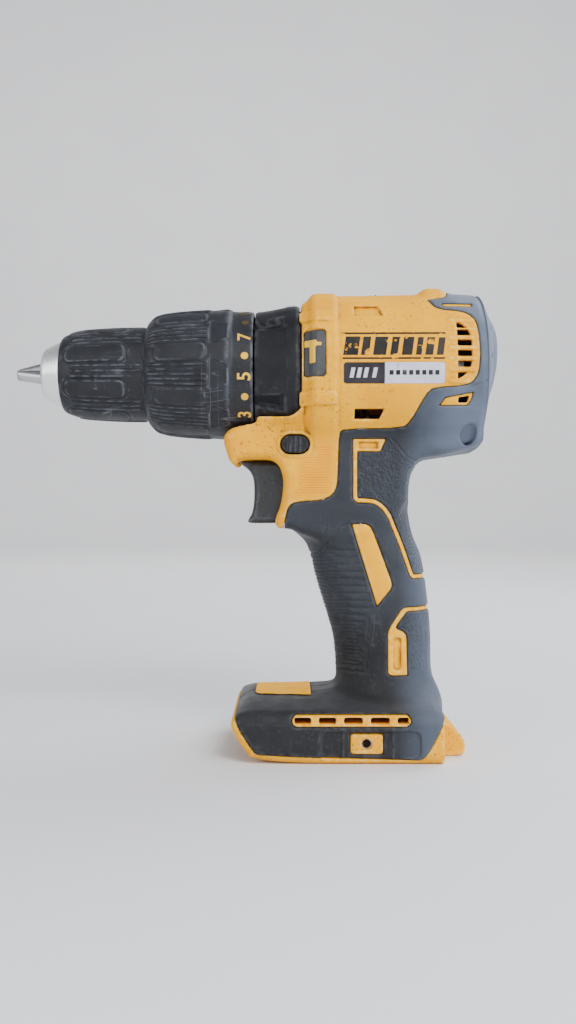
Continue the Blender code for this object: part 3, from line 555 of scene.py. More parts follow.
def outer_details(body, x, z, left):
    """Everything cut into or raised from the outside of the shell, seen from the left side."""
    bars = np.minimum(slab(16.0, 32.6, 171.6, 176.2, x, z, 2.0), slab(16.0, 32.6, 138.4, 143.6, x, z, 2.0))
    body = pad(body, bars, 0.9, 0.8)
    if left:
        body = pocket(body, slab(19.5, 28.4, 148.8, 167.8, x, z, 1.8), 1.2)
    fins = [slab(75.2, 86.0, h - 0.75, h + 0.75, x, z, 0.7) for h in FIN_HEIGHTS]
    body = pad(body, np.minimum.reduce(fins), 0.5, 0.4)
    round_end = np.hypot(np.maximum(x - 76, 0), np.maximum(np.abs(z - 159.6) - 3.6, 0)) - 8.3
    slots = [np.maximum(slab(78.7, 86.0, h - 1.25, h + 1.25, x, z, 0.3), round_end) for h in VENT_HEIGHTS]
    openings = np.minimum.reduce(slots + [lower_slot(x, z), rear_opening(x, z)])
    body = pocket(body, np.where(z > 100, openings, FAR).astype(np.float32), 5.0, 0.3)
    body = pocket(body, upper_slot(x, z), 1.3, 0.3)
    body = pocket(body, slab(34.6, 74.0, 146.1, 154.7, x, z, 1.2), 0.25, 0.2)
    body = pad(body, pill(7.0, 5.1, x, z), 0.5)
    body = pocket(body, pill(5.9, 4.0, x, z), 8.0)
    if left:
        body = pocket(body, np.hypot(x - 84.8, (z - 127.8) * 0.8) - 3.3, 1.9, 0.5)
    body = pocket(body, slab(41.6, 49.4, 122.2, 124.9, x, z, 0.4), 0.7, 0.3)
    body = pocket(body, slab(55.7, 58.9, 33.7, 46.8, x, z, 1.2), 1.0)
    body = pad(body, foot_vent_frame(x, z), 0.7)
    frames = np.minimum.reduce([slab(a, b, 15.8, 18.2, x, z, 0.8) for a, b in FOOT_VENTS])
    body = pocket(body, np.where(z < 60, frames, FAR).astype(np.float32), 7.0, 0.3)
    body = pocket(body, slab(26.0, 64.4, 2.4, 13.0, x, z, 2.6), 1.3, 0.8)
    for line in (34.5, 53.8):
        body = pad(body, slab(line - 0.5, line + 0.5, 2.6, 12.8, x, z, 0.4), 0.6, 0.4)
    body = pad(body, hook_plate(x, z), 0.8)
    body = pad(body, foot_pad(x, z), 0.7)
    return pocket(body, np.hypot(x - 43.7, z - 8.0) - 2.1, 5.0)


def seams(x, z):
    """Thin grooves where rubber was moulded against rubber."""
    lines = [path_distance([(66.0, 116.4), (60.6, 119.2), (57.0, 123.6), (54.6, 126.0)], x, z),
             path_distance([(84.0, 145.0), (88.4, 146.4), (92.4, 149.2)], x, z),
             path_distance(RIBBED_PAD[:6], x, z)]
    return np.minimum.reduce(lines) - 0.35


seam_flat = drawn(seams)


def cavities(body, x, y, z):
    """The hollow inside the shell and the openings for the trigger, lens, selector and battery."""
    hollow = np.maximum(body + 2.4, 15.6 - z)
    trigger = np.maximum(np.maximum(np.abs(y) - 10.2, np.abs(z - 104.6) - 13.4), np.abs(x - 8) - 22)
    lens = np.maximum(np.hypot(y, z - 122.0) - 3.2, np.abs(x + 8) - 6)
    selector = np.maximum(np.maximum(np.abs(x - 53.5) - 9.5, np.abs(y) - 6.5), AXIS_Z + 27.5 - z)
    rails = np.maximum(np.maximum(np.abs(x - 26) - 38, np.abs(y) - 27), np.abs(z - 8) - 5)
    mouth = np.maximum(np.maximum(np.abs(x - 25.7) - 37.8, np.abs(y) - 22.5), np.abs(z - 1) - 3)
    contacts = np.maximum(np.maximum(np.abs(x - 51) - 7, np.abs(y) - 19), np.abs(z - 14.5) - 2.5)
    nose = np.maximum(np.hypot(y, z - AXIS_Z) - 25.7, np.abs(x - 18) - 7)
    motor = np.maximum(np.hypot(y, z - AXIS_Z) - 29.6, np.maximum(x - 99, 70 - x))
    seats = np.minimum.reduce([np.maximum(np.hypot(x - sx, z - sz) - 4.6, np.abs(y - seat + 3.2) - 0.9)
                               for sx, sz, seat in SCREWS])
    empty = [hollow, trigger, lens, selector, rails, mouth, contacts, nose, motor]
    return np.maximum(np.minimum.reduce(np.broadcast_arrays(*empty)), -seats)


def screw_holes(x, y, z):
    """The seven deep holes for the screws, on the right side only, where y is turned over."""
    holes = [np.maximum(np.hypot(x - sx, z - sz) - 3.3, -(np.abs(y) - seat + 2.3)) for sx, sz, seat in SCREWS]
    return np.minimum.reduce(holes)


def yellow_zone(body, x, z):
    """Negative where the material is yellow: the drawn region, and under the rubber of the foot."""
    return np.minimum(yellow_flat(x, z), np.maximum(body + 1.9, z - 22))


def parting(body):
    """Half the gap between the two halves: open at the surface and closed deeper in, so no light comes through."""
    return 0.12 * np.clip(1 + body / 0.8, 0, 1)


def one_half(solid, body, x, y, z, side):
    """What lies on one side of the parting plane, with the screw holes on the right."""
    if side > 0:
        solid = np.maximum(solid, -screw_holes(x, y, z))
    return np.maximum(solid, parting(body) - y * side).astype(np.float32)


def shell_field(side):
    """One yellow half. side is -1 on the left and 1 on the right."""
    def field(x, y, z):
        body = body_field(x, y, z)
        solid = np.maximum(outer_details(body, x, z, side < 0), -cavities(body, x, y, z))
        solid = blend_max(solid, yellow_zone(body, x, z) + 0.12, 0.4)
        return one_half(solid, body, x, y, z, side)
    return field


GROOVE_PITCH = 2.9


def rubber_field(side):
    """The rubber over one half, standing a little proud, with grooves across the finger pad."""
    def field(x, y, z):
        body = body_field(x, y, z)
        cover = outer_details(body - 0.45, x, z, side < 0)
        wave = (z - 35.4) / GROOVE_PITCH
        groove = np.abs(wave - np.round(wave)) * GROOVE_PITCH - 0.35
        half = np.abs(wave + 0.5 - np.round(wave + 0.5)) * GROOVE_PITCH - 0.3
        pad_flat = ribbed_pad(x, z)
        front = np.interp(z, *grip_front)
        grooves = np.minimum(np.maximum(groove, pad_flat + 1.6), np.maximum(half, x - front - 9.0))
        grooves = np.maximum(grooves, np.maximum(pad_flat + 1.0, np.maximum(34.4 - z, z - 84)))
        cover = pocket(cover, grooves.astype(np.float32), 0.55, 0.5)
        cover = pocket(cover, np.minimum(seam_flat(x, z), np.abs(pad_flat) - 0.3), 0.5, 0.4)
        solid = np.maximum(cover, -cavities(body, x, y, z))
        solid = blend_max(solid, 0.12 - yellow_zone(body, x, z), 0.6)
        return one_half(solid, body, x, y, z, side)
    return field


# %% Mould the halves
def moulded(name, field, side, low, high, step, node):
    """A skin of one half that rides with the housing and stands for its node."""
    near_y, far_y = sorted((low[1] * side, high[1] * side))
    made = skin(name, field, (low[0], near_y, low[2]), (high[0], far_y, high[2]), step)
    return stands_for(made, "housing", node)


shells, rubbers = {}, {}
for word, side in (("left", -1), ("right", 1)):
    shells[word] = moulded(f"yellow_shell_{word}", shell_field(side), side,
                           (-13.6, -0.6, -0.9), (92.4, 34.4, 188.6), 0.62, f"housing_{word}")
    rubbers[word] = moulded(f"rubber_cover_{word}", rubber_field(side), side,
                            (-9.9, -0.6, 0.6), (92.4, 35.2, 189.4), 0.57, f"overmold_{word}")

# %% [markdown]
# ## The grip's fine ribs
#
# Behind the trigger the shell has a field of fine level ribs for the fingertip. They are nineteen small half-round
# bars lying on the curved side, so they are made as one repeated grid and not as texture.


# %% Fingertip ribs
def side_of_neck(x, z, side):
    """Where the shell's side lies at (x, z): the half width, found by halving along Y."""
    inner, outer = (np.full(np.broadcast(x, z).shape, value, np.float32) for value in (8.0, 34.0))
    for _ in range(16):
        middle = (inner + outer) / 2
        inside = body_field(x.ravel(), middle.ravel(), z.ravel()).reshape(middle.shape) < 0
        inner, outer = np.where(inside, middle, inner), np.where(inside, outer, middle)
    return inner * side


def fingertip_ribs(name, side):
    """Bars with a half-round section: z = height + 0.24 cos t and y = neck + 0.34 sin t, fading at both ends."""
    heights = np.arange(105.0, 123.2, 1.0)[:, None, None]
    along = np.linspace(0, 1, 9)[None, :, None]
    turn = np.linspace(0, np.pi, 5)[None, None, :]
    start = np.where(heights > 119, 24.6, 17.6)
    stop = np.where((heights > 117.9) & (side > 0), 26.0, 30.8)
    x = start + (stop - start) * along + 0 * turn
    z = heights + 0.24 * np.cos(turn) + 0 * along
    x, z = np.broadcast_arrays(x, z)
    ends = np.minimum(1, 12 * along * (1 - along))
    y = side_of_neck(x, z, side) + side * (0.34 * np.sin(turn) * ends - 0.02)
    points = np.stack([x, y, z], -1)
    index = np.arange(x.size).reshape(x.shape)
    a, b, c, d = index[:, :-1, :-1], index[:, 1:, :-1], index[:, 1:, 1:], index[:, :-1, 1:]
    quads = np.stack([a, b, c, d] if side < 0 else [d, c, b, a], -1).reshape(-1, 4)
    made = mesh_object(name, points, quads)
    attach(made, "housing")
    return made


ribs = [fingertip_ribs("fingertip_ribs_left", -1), fingertip_ribs("fingertip_ribs_right", 1)]

# %% [markdown]
# ## Turned pieces
#
# Chuck sleeve, torque collar and gear case are turned or moulded round one axis. Each is a closed profile carried
# round that axis, and a small formula adds ribs, pads and notches to the radius, like a knurling tool.


# %% Profiles carried round the chuck axis
def resampled(corners, step, rounds=2):
    """A closed profile with softened corners and points at about equal steps."""
    points = rounded_outline(corners, rounds)
    points = np.vstack([points, points[:1]])
    length = np.concatenate([[0], np.cumsum(np.hypot(*np.diff(points, axis=0).T))])
    places = np.linspace(0, length[-1], max(8, int(length[-1] / step)) + 1)
    return np.stack([np.interp(places, length, points[:, k]) for k in (0, 1)], -1)[:-1]


def turned(name, profile, sides, shaped):
    """A closed profile of (x, r) carried round the axis: t runs from the top towards the left side.

    The point is (x, -r sin t, axis + r cos t), after shaped(x, r, t) has changed r."""
    sides = sides
    turn = np.linspace(0, 2 * np.pi, sides + 1)[:-1]
    x, r = profile[:, :1] + 0 * turn, profile[:, 1:] + 0 * turn
    r = shaped(x, r, np.broadcast_to(turn, x.shape))
    made = grid_mesh(name, np.stack([x, -r * np.sin(turn), AXIS_Z + r * np.cos(turn)], -1), wrap=True, closed=True)
    print(name, "has", x.size, "points")
    return face_outwards(made)


def near(turn, centre, count):
    """The signed angle from t to the closest of count equal places, one of which is centre (in degrees)."""
    period = 2 * np.pi / count
    return (turn - math.radians(centre) + period / 2) % period - period / 2


def rise(distance, soft):
    """1 well inside an outline, 0 outside, with a smooth bank of the given width."""
    share = np.clip(0.5 - distance / soft, 0, 1)
    return share * share * (3 - 2 * share)


# %% Torque collar
COLLAR_PROFILE = [(-42.8, 11.0), (-42.8, 19.4), (-44.0, 20.0), (-43.6, 21.2), (-41.6, 23.2), (-39.0, 24.6),
                  (-30.0, 25.8), (-18.0, 26.5), (-12.6, 26.9), (-10.2, 26.9), (-9.0, 26.0), (-8.2, 25.75),
                  (-0.6, 25.75), (-0.3, 25.2), (-0.3, 22.4), (-38.0, 22.4), (-40.2, 20.4), (-40.2, 11.0)]

COLLAR_R = 26.0


def collar_shape(x, r, turn):
    """Nine smooth pads with round ends, fine ribs between them, and a facet behind each group of ribs."""
    outside = r > 22.9
    lozenge = slab(-39.6, -18.4, -3.9, 3.9, x, near(turn, 117, 9) * COLLAR_R, 3.0)
    between = near(turn, 97, 9) * COLLAR_R
    field = slab(-42.6, -18.6, -5.0, 5.0, x, between, 1.2)
    wave = np.cos(between * 2 * np.pi / 1.95)
    facet = np.maximum(slab(-17.4, -10.6, -5.6, 5.6, x, between, 1.0), np.abs(between) - 3.4 - (-10.6 - x) * 0.45)
    shift = 0.5 * rise(lozenge, 0.8) - 0.315 * rise(np.abs(lozenge + 0.1) - 0.35, 0.8)
    shift = shift + rise(field, 0.9) * (0.3 * wave - 0.1) - 0.45 * rise(facet, 0.7)
    return np.where(outside, r + shift, r)


collar = turned("torque_collar", resampled(COLLAR_PROFILE, 0.5), 720, collar_shape)
stands_for(collar, "clutch_collar", "clutch_collar")

# %% Chuck sleeve
SLEEVE_PROFILE = [(-79.0, 14.7), (-79.0, 15.5), (-77.6, 16.3), (-73.5, 17.7), (-69.0, 18.4), (-56.0, 19.2),
                  (-44.0, 19.3), (-43.5, 19.0), (-43.5, 18.0), (-61.5, 18.0), (-61.5, 16.6), (-76.4, 16.2),
                  (-77.4, 14.7)]
SLEEVE_R = 19.0


def sleeve_shape(x, r, turn):
    """Eight raised pads with round ends and a narrow groove round each, and two ribs in each space between."""
    outside = (r > 18.2) | (x < -69) & (r > 15.2 + (x + 79) * 0.16) & (x > -78.8)
    pad_flat = slab(-76.2, -51.4, -3.7, 3.7, x, near(turn, 115, 8) * SLEEVE_R, 2.6)
    space = near(turn, 137.5, 8) * SLEEVE_R
    ribs_flat = slab(-73.4, -45.4, -2.4, 2.4, x, space, 0.5)
    shift = 0.35 * rise(pad_flat, 0.7) - 0.5 * rise(np.abs(pad_flat - 0.35) - 0.4, 0.7)
    shift = shift + rise(ribs_flat, 0.6) * 0.35 * np.cos(space * 2 * np.pi / 2.4)
    return np.where(outside, r + shift, r)


sleeve = turned("chuck_sleeve_cover", resampled(SLEEVE_PROFILE, 0.45, 1), 480, sleeve_shape)
stands_for(sleeve, "chuck_sleeve", "chuck_sleeve")

# %% Gear case
CASE_PROFILE = [(-24.0, 9.4), (-24.0, 15.0), (1.0, 15.0), (0.1, 19.0), (0.1, 25.0), (0.9, 25.7), (4.0, 25.9),
                (12.0, 27.4), (13.4, 28.0), (18.3, 28.2), (18.3, 25.2), (42.0, 25.2), (42.0, 21.8), (8.0, 21.8),
                (8.0, 11.0), (-13.5, 11.0), (-13.5, 9.4)]


def case_shape(x, r, turn):
    """Four tapered slots in the front face, wider towards the rear."""
    mirrored = np.minimum(turn, 2 * np.pi - turn)
    across = np.minimum(np.abs(mirrored - math.radians(48)), np.abs(mirrored - math.radians(122))) * 26.5
    slot = np.maximum(np.abs(x - 5.8) - 5.9, across - 2.3 - 0.1 * (x - 1))
    return np.where((r > 25.0) & (x < 18.5), r - 3.0 * rise(slot, 0.5), r)


case = turned("gear_case_front", resampled(CASE_PROFILE, 0.55, 1), 432, case_shape)
stands_for(case, "housing", "gear_case")

# %% [markdown]
# ## The rear cap
#
# The cap carries the rear bearing and is covered in the same rubber. It leans up towards the top, so its rings don't
# share a centre: each ring has its own height and radius, and the last one closes on a point.


# %% Rear cap
CAP_X = np.array([90.8, 91.6, 92.6, 94.0, 95.6, 97.2, 98.3, 98.9, 99.0])
CAP_R = np.array([31.6, 29.6, 26.6, 22.2, 18.0, 14.6, 11.4, 7.2, 0.0])
CAP_LIFT = np.array([0.6, 1.6, 2.8, 4.4, 6.0, 7.2, 8.2, 8.8, 9.0])
CAP_INSIDE = np.array([(0.01, 94.0), (14.0, 93.2), (24.0, 90.6), (29.2, 89.2), (31.4, 90.6)])


def rear_cap_cover():
    """Rings of radius R(s) about a rising centre, with a moulded groove and radial slots, and a flat inner wall."""
    share = np.linspace(0, 1, 90)
    place = share ** 0.8 * (len(CAP_X) - 1)
    x, r, lift = (np.interp(place, np.arange(len(CAP_X)), values) for values in (CAP_X, CAP_R, CAP_LIFT))
    turn = np.linspace(0, 2 * np.pi, 361)[:-1]
    slots = np.maximum(np.abs(near(turn, 0, 12)) * 24.0 - 0.9, np.abs(r[:, None] - 23.4) - 2.2)
    side_only = np.abs(np.sin(turn)) > 0.45
    ring = np.maximum(np.abs(r[:, None] - 17.6) - 0.3, 0 * turn)
    sink = 1.1 * rise(slots, 0.6) * side_only + 0.5 * rise(ring, 0.7)
    outer = np.stack([x[:, None] - sink, -r[:, None] * np.sin(turn),
                      AXIS_Z + lift[:, None] + r[:, None] * np.cos(turn)], -1)
    inner_r, inner_x = CAP_INSIDE.T[:, :, None]
    inner = np.stack([inner_x + 0 * turn, -inner_r * np.sin(turn), AXIS_Z + 0.6 + inner_r * np.cos(turn)], -1)
    made = grid_mesh("rear_cap_cover", np.concatenate([outer, inner]), wrap=True, closed=True)
    return face_outwards(made)


rear_cover = stands_for(rear_cap_cover(), "housing", "rear_cap")

# %% [markdown]
# ## Chuck body and jaws
#
# The steel nose is bored for the bit, and three slanted bores let the jaws slide forwards as they close. The same
# distance fields describe both: a profile of revolution less three cylinders, and each jaw is one such cylinder
# ground to a wedge.

# %% Nose and jaws
NOSE_PROFILE = [(-87.3, 6.6), (-87.3, 9.8), (-86.4, 10.9), (-79.4, 14.2), (-78.3, 14.2), (-78.3, 7.6), (-69.7, 9.8),
                (-69.7, 15.8), (-60.8, 15.8), (-60.8, 17.3), (-45.3, 17.3), (-45.3, 6.65), (-60.3, 6.65), (-60.3, 2.6),
                (-63.0, 2.6), (-63.0, 6.6)]
JAW_TIP_X, JAW_TILT, JAW_R = float(node_box("jaw_1")[0][0]), math.radians(15), 2.4


def jaw_frame(number, y, z):
    """A jaw's own directions: how far a point lies out from the axis, and how far to the side."""
    angle = math.radians(90 + 120 * (number - 1))
    return (y * math.cos(angle) + (z - AXIS_Z) * math.sin(angle),
            (z - AXIS_Z) * math.cos(angle) - y * math.sin(angle))


def slanted_bar(number, radius, x, y, z):
    """The distance to a cylinder that leans out from the axis at the jaw's angle."""
    out, side = jaw_frame(number, y, z)
    centre = -0.3 + (x - JAW_TIP_X) * math.tan(JAW_TILT)
    return np.hypot((out - centre) * math.cos(JAW_TILT), side) - radius


def nose_field(x, y, z):
    """The turned profile, x along and r up, less the three jaw bores."""
    metal = outline_distance(NOSE_PROFILE, x, np.hypot(y, z - AXIS_Z))
    bores = [slanted_bar(k, JAW_R + 0.3, x, y, z) for k in (1, 2, 3)]
    bores = np.maximum(np.minimum.reduce(bores), x + 47.4)
    return np.maximum(metal, -bores).astype(np.float32)


def jaw_field(number):
    """One bar, ground to a blunt wedge whose two flats meet its neighbours'."""
    def field(x, y, z):
        out, side = jaw_frame(number, y, z)
        flats = np.abs(side) * math.sin(math.radians(30)) - (out - 0.17) * math.cos(math.radians(30))
        ends = np.maximum(JAW_TIP_X - x, x - JAW_TIP_X - 27.0)
        cone = out - 1.5 - (x - JAW_TIP_X) * 0.62
        return np.maximum(np.maximum(slanted_bar(number, JAW_R, x, y, z), flats), np.maximum(ends, cone))
    return field


nose = skin("chuck_nose", nose_field, (-88.2, -18.2, AXIS_Z - 18.2), (-44.4, 18.2, AXIS_Z + 18.2), 0.42)
stands_for(nose, "spindle", "chuck_body")
jaws = []
for number in (1, 2, 3):
    low, high = node_box(f"jaw_{number}")
    piece = skin(f"chuck_jaw_{number}", jaw_field(number), low - 0.6, high + 0.6, 0.22)
    jaws.append(stands_for(piece, f"jaw_{number}", f"jaw_{number}"))

# %% [markdown]
# ## Trigger, direction button and speed selector
#
# These are the pieces that a finger moves. Each one is a small skin of its own, so the joints of the model carry it.

# %% Controls
TRIGGER = [(22.0, 92.6), (1.0, 92.3), (-2.9, 92.6), (-3.0, 93.6), (-1.2, 96.4), (-0.5, 100.6), (-0.3, 105.8),
           (-0.6, 111.0), (-2.6, 114.4), (-6.6, 117.2), (-5.4, 118.1), (3.0, 118.1), (9.0, 117.8), (22.0, 117.6)]
trigger_flat = drawn_line(TRIGGER)
SELECTOR_X = 49.5


def trigger_field(x, y, z):
    """The trigger's outline with round edges, a shallow hollow for the finger and a bore for the spring."""
    hollow = 1.1 * np.exp(-(y / 4.6) ** 2) * rise(x - 6.0, 8.0)
    spring_room = np.maximum(np.hypot(y, z - 105.0) - 4.1, 16.0 - x)
    block = drawn_across(trigger_flat(x - hollow * 0.5, z), y, 9.6, 2.6)
    return np.maximum(block, -spring_room).astype(np.float32)


def button_field(x, y, z):
    """A bar through the housing with a pill-shaped button on each end, a flange behind it and three grip lines."""
    bar = np.maximum(pill(4.5, 2.2, x, z + 1.5), np.abs(y) - 17.5)
    lines = 0.25 * np.cos((x - BUTTON_X) * 2 * np.pi / 2.0) * (np.abs(x - BUTTON_X) < 3.1)
    ends = blend_max(pill(5.4, 3.4, x, z), np.maximum(np.abs(y) - 19.7 - lines, 13.2 - np.abs(y)), 0.8)
    flange = np.maximum(pill(6.9, 5.0, x, z), np.abs(np.abs(y) - 10.9) - 0.5)
    return np.minimum(np.minimum(bar, flange), ends).astype(np.float32)


def selector_field(x, y, z):
    """A flat slider under a ridged thumb block."""
    along = x - SELECTOR_X
    plate = np.maximum(np.maximum(np.abs(along) - 9.0, np.abs(y) - 7.4), np.abs(z - AXIS_Z - 26.45) - 0.65)
    top = AXIS_Z + 32.0 + 0.45 * np.cos(along * 2 * np.pi / 2.2) - 0.05 * along ** 2
    block = blend_max(slab(45.1, 53.9, -5.6, 5.6, x, y, 1.4), z - top, 1.0)
    return np.minimum(plate, np.maximum(block, AXIS_Z + 26.5 - z)).astype(np.float32)


trigger = skin("finger_trigger", trigger_field, (-7.6, -10.2, 91.4), (22.8, 10.2, 118.4), 0.42)
button = skin("direction_button", button_field, (8.8, -21.0, 118.4), (23.8, 21.0, 129.6), 0.34)
selector = skin("gear_selector", selector_field, (39.8, -8.2, AXIS_Z + 25.0), (59.2, 8.2, AXIS_Z + 34.4), 0.4)
for piece, body in ((trigger, "trigger"), (button, "direction_lever"), (selector, "speed_selector")):
    stands_for(piece, body, body)

# %% [markdown]
# ## Screws
#
# Seven thread-forming screws with a six-lobed recess clamp the halves. The lobes are one cosine on the recess's
# radius, so each head is a small turned grid.


# %% Housing screws
def screw_head(number, low, high):
    """Rings from the shank up over a domed head and down into a recess whose radius is r (1 + 0.17 cos 6a)."""
    x, z, top = (low[0] + high[0]) / 2, (low[2] + high[2]) / 2, high[1]
    rings = [(1.25, low[1]), (1.3, top - 2.2), (2.6, top - 2.0), (2.75, top - 1.2), (2.4, top - 0.3), (1.7, top),
             (1.25, top), (1.2, top - 0.2), (1.15, top - 1.4), (0.4, top - 1.6), (0.02, top - 1.6)]
    radius, depth = np.array(rings).T[:, :, None]
    turn = np.linspace(0, 2 * np.pi, 49)[:-1]
    order = np.arange(len(rings))[:, None]
    radius = radius * (1 + 0.17 * np.cos(6 * turn) * ((order > 5) & (order < 9)))
    cap = np.stack([x + 0.02 * np.cos(turn), low[1] + 0 * turn, z + 0.02 * np.sin(turn)], -1)[None]
    points = np.stack([x + radius * np.cos(turn), depth + 0 * turn, z + radius * np.sin(turn)], -1)
    made = grid_mesh(f"torx_screw_{number}", np.concatenate([cap, points]), wrap=True, closed=True)
    return stands_for(face_outwards(made), "housing", f"housing_screw_{number}")


screws = [screw_head(name[-1], *corners) for name, corners in screw_places]
print("screws at", [tuple(round(float(v), 1) for v in place) for place in SCREWS])

# %% [markdown]
# ## Print, label and numerals
#
# The side of the barrel carries a worn printed panel and a foil label. Both follow the barrel, so they are thin
# sheets: a row of the sheet runs from a left edge to a right edge, and its depth comes from the barrel's radius. The
# marks on them are plain bars. The numerals on the collar are real text, cut into strips and rolled round it.


# %% Sheets on the barrel
def barrel_sheet(name, z0, z1, left, right, sink, side, rows=24, columns=60):
    """A sheet at x = left + (right - left) u for each height z, at the barrel's radius less the sink."""
    z = np.linspace(z0, z1, rows)[:, None]
    x = left(z) + (right(z) - left(z)) * np.linspace(0, 1, columns)
    radius = np.interp(x, *barrel_radius) - sink
    y = side * np.sqrt(radius ** 2 - (z - AXIS_Z) ** 2)
    points = np.stack(np.broadcast_arrays(x, y, z), -1)
    made = grid_mesh(name, points[::-1] if side < 0 else points)
    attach(made, "housing")
    return made


def rounded_end(z0, z1, radius):
    """How far a rounded corner pulls the sheet's edge in at height z."""
    def pull(z):
        rest = np.clip(radius - np.minimum(z - z0, z1 - z), 0, radius)
        return radius - np.sqrt(radius ** 2 - rest ** 2)
    return pull


def several(name, parts, body="housing", smooth=True):
    """One object on a body from several."""
    shape = bmesh.new()
    for part in parts:
        shape.from_mesh(part.data)
        bpy.data.objects.remove(part, do_unlink=True)
    mesh = bpy.data.meshes.new(name)
    shape.to_mesh(mesh)
    shape.free()
    if smooth:
        mesh.shade_smooth()
    made = linked(name, mesh)
    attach(made, body)
    return made


def bar(z0, z1, start, width, sink, side, rows, columns, lean=0.0):
    """A bar on the barrel from x = start to start + width at z = 157 in the panel and 148 on the label.

    It leans back by lean millimetres for each millimetre of height."""
    base = 157 if z0 > 155 else 148
    return barrel_sheet("bar", z0, z1, lambda z: start + (z - base) * lean,
                        lambda z: start + width + (z - base) * lean, sink, side, rows, columns)


def panel_bars(side):
    """Eight leaning bars of different widths between two thin lines."""
    starts = [34.6, 41.4, 46.0, 52.6, 57.0, 62.4, 66.0, 70.4]
    widths = [5.6, 3.0, 5.0, 2.8, 4.0, 2.2, 3.0, 2.6]
    sheets = [bar(157.2, 164.6 - 0.06 * number, start, width, -0.05, side, 20, 12, 0.16)
              for number, (start, width) in enumerate(zip(starts, widths))]
    sheets += [bar(low, high, 34.4, 39.8, -0.05, side, 3, 80) for low, high in ((155.6, 156.3), (165.5, 166.3))]
    return several(f"printed_panel_{'left' if side < 0 else 'right'}", sheets)


LABEL_Z, LABEL_SPLIT = (146.4, 154.4), 50.7
label_pull = rounded_end(*LABEL_Z, 1.1)


def foil_label(side):
    """A dark third and a pale part that share the barrel's curve, with plain bars on both."""
    word = "left" if side < 0 else "right"
    dark = barrel_sheet(f"label_dark_{word}", *LABEL_Z, lambda z: 34.9 + label_pull(z), lambda z: LABEL_SPLIT + 0 * z,
                        0.12, side)
    pale = barrel_sheet(f"label_pale_{word}", *LABEL_Z, lambda z: LABEL_SPLIT + 0 * z, lambda z: 73.7 - label_pull(z),
                        0.12, side)
    light = [bar(148.6, 152.4, start, 1.5, 0.06, side, 8, 6, 0.2) for start in (37.0, 39.6, 42.2, 45.6)]
    small = [bar(149.6, 151.4, 52.4 + 2.5 * k, 1.6, 0.06, side, 5, 5) for k in range(8)]
    return dark, pale, several(f"label_light_bars_{word}", light), several(f"label_dark_bars_{word}", small)


panels = [panel_bars(-1), panel_bars(1)]
labels = [foil_label(-1), foil_label(1)]


# %% Hammer window
def hammer(x, z):
    """A hammer as a flat outline: a head with a claw, and a handle."""
    head = np.minimum(slab(19.8, 24.6, 160.6, 163.3, x, z, 0.5), slab(24.2, 26.4, 161.0, 162.4, x, z, 0.4))
    return np.minimum(head, slab(21.8, 24.0, 154.2, 161.4, x, z, 0.5))


def plate_field(x, y, z):
    """The dark plate in the window, following the barrel."""
    body = barrel_gap(x, y, z)
    shape = slab(19.7, 28.1, 149.1, 167.5, x, z, 1.6)
    return np.maximum(np.maximum(blend_max(body + 0.9, shape, 0.5), -(body + 2.2)), y)


def glyph_field(x, y, z):
    """The raised hammer on the plate."""
    body = barrel_gap(x, y, z)
    return np.maximum(np.maximum(blend_max(body + 0.55, hammer(x, z), 0.25), -(body + 1.2)), y)


plate = skin("mode_plate", plate_field, (18.6, -34.2, 148.4), (28.8, -22.4, 168.2), 0.3)
glyph = skin("mode_hammer", glyph_field, (19.2, -34.2, 153.6), (27.0, -24.8, 164.0), 0.2)
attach(plate, "housing")
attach(glyph, "housing")


# %% Numerals
def rolled_text(name, words, height, turn, place, radius):
    """Text as a thin mesh, cut into strips and rolled round the axis.

    The baseline's direction runs up the left side, and the top of each sign points to the chuck."""
    curve = bpy.data.curves.new(name, "FONT")
    curve.body, curve.align_x, curve.align_y, curve.size = words, "CENTER", "CENTER", height * 1.4
    curve.offset, curve.extrude = 0.02 * height, 0.06
    flat = linked(name, curve)
    view = bpy.context.evaluated_depsgraph_get()
    mesh = bpy.data.meshes.new_from_object(flat.evaluated_get(view))
    bpy.data.objects.remove(flat, do_unlink=True)
    bpy.data.curves.remove(curve)
    return rolled(name, mesh, turn, place, radius)


def rolled(name, mesh, turn, place, radius):
    """A flat mesh of millimetres rolled round the axis: t = turn - u / radius and x = place - v."""
    shape = bmesh.new()
    shape.from_mesh(mesh)
    for cut in np.arange(-4, 4.1, 0.8):
        parts = shape.verts[:] + shape.edges[:] + shape.faces[:]
        bmesh.ops.bisect_plane(shape, geom=parts, plane_co=(cut, 0, 0), plane_no=(1, 0, 0))
    bmesh.ops.triangulate(shape, faces=shape.faces)
    shape.to_mesh(mesh)
    shape.free()
    flat = np.empty(len(mesh.vertices) * 3, np.float32)
    mesh.vertices.foreach_get("co", flat)
    u, v, w = flat.reshape(-1, 3).T
    angle, r = turn - u / radius, radius + w
    points = np.stack([place - v, -r * np.sin(angle), AXIS_Z + r * np.cos(angle)], -1) * MM
    mesh.vertices.foreach_set("co", points.astype(np.float32).ravel())
    mesh.update()
    return linked(name, mesh)


def flat_shape(name, outline, depth=0.06):
    """A prism in the u-v plane from an outline."""
    shape = bmesh.new()
    face = shape.faces.new([shape.verts.new((u, v, -depth)) for u, v in outline])
    grown = bmesh.ops.extrude_face_region(shape, geom=[face])
    top = [part for part in grown["geom"] if isinstance(part, bmesh.types.BMVert)]
    bmesh.ops.translate(shape, verts=top, vec=(0, 0, 2 * depth))
    bmesh.ops.recalc_face_normals(shape, faces=shape.faces)
    mesh = bpy.data.meshes.new(name)
    shape.to_mesh(mesh)
    shape.free()
    return mesh


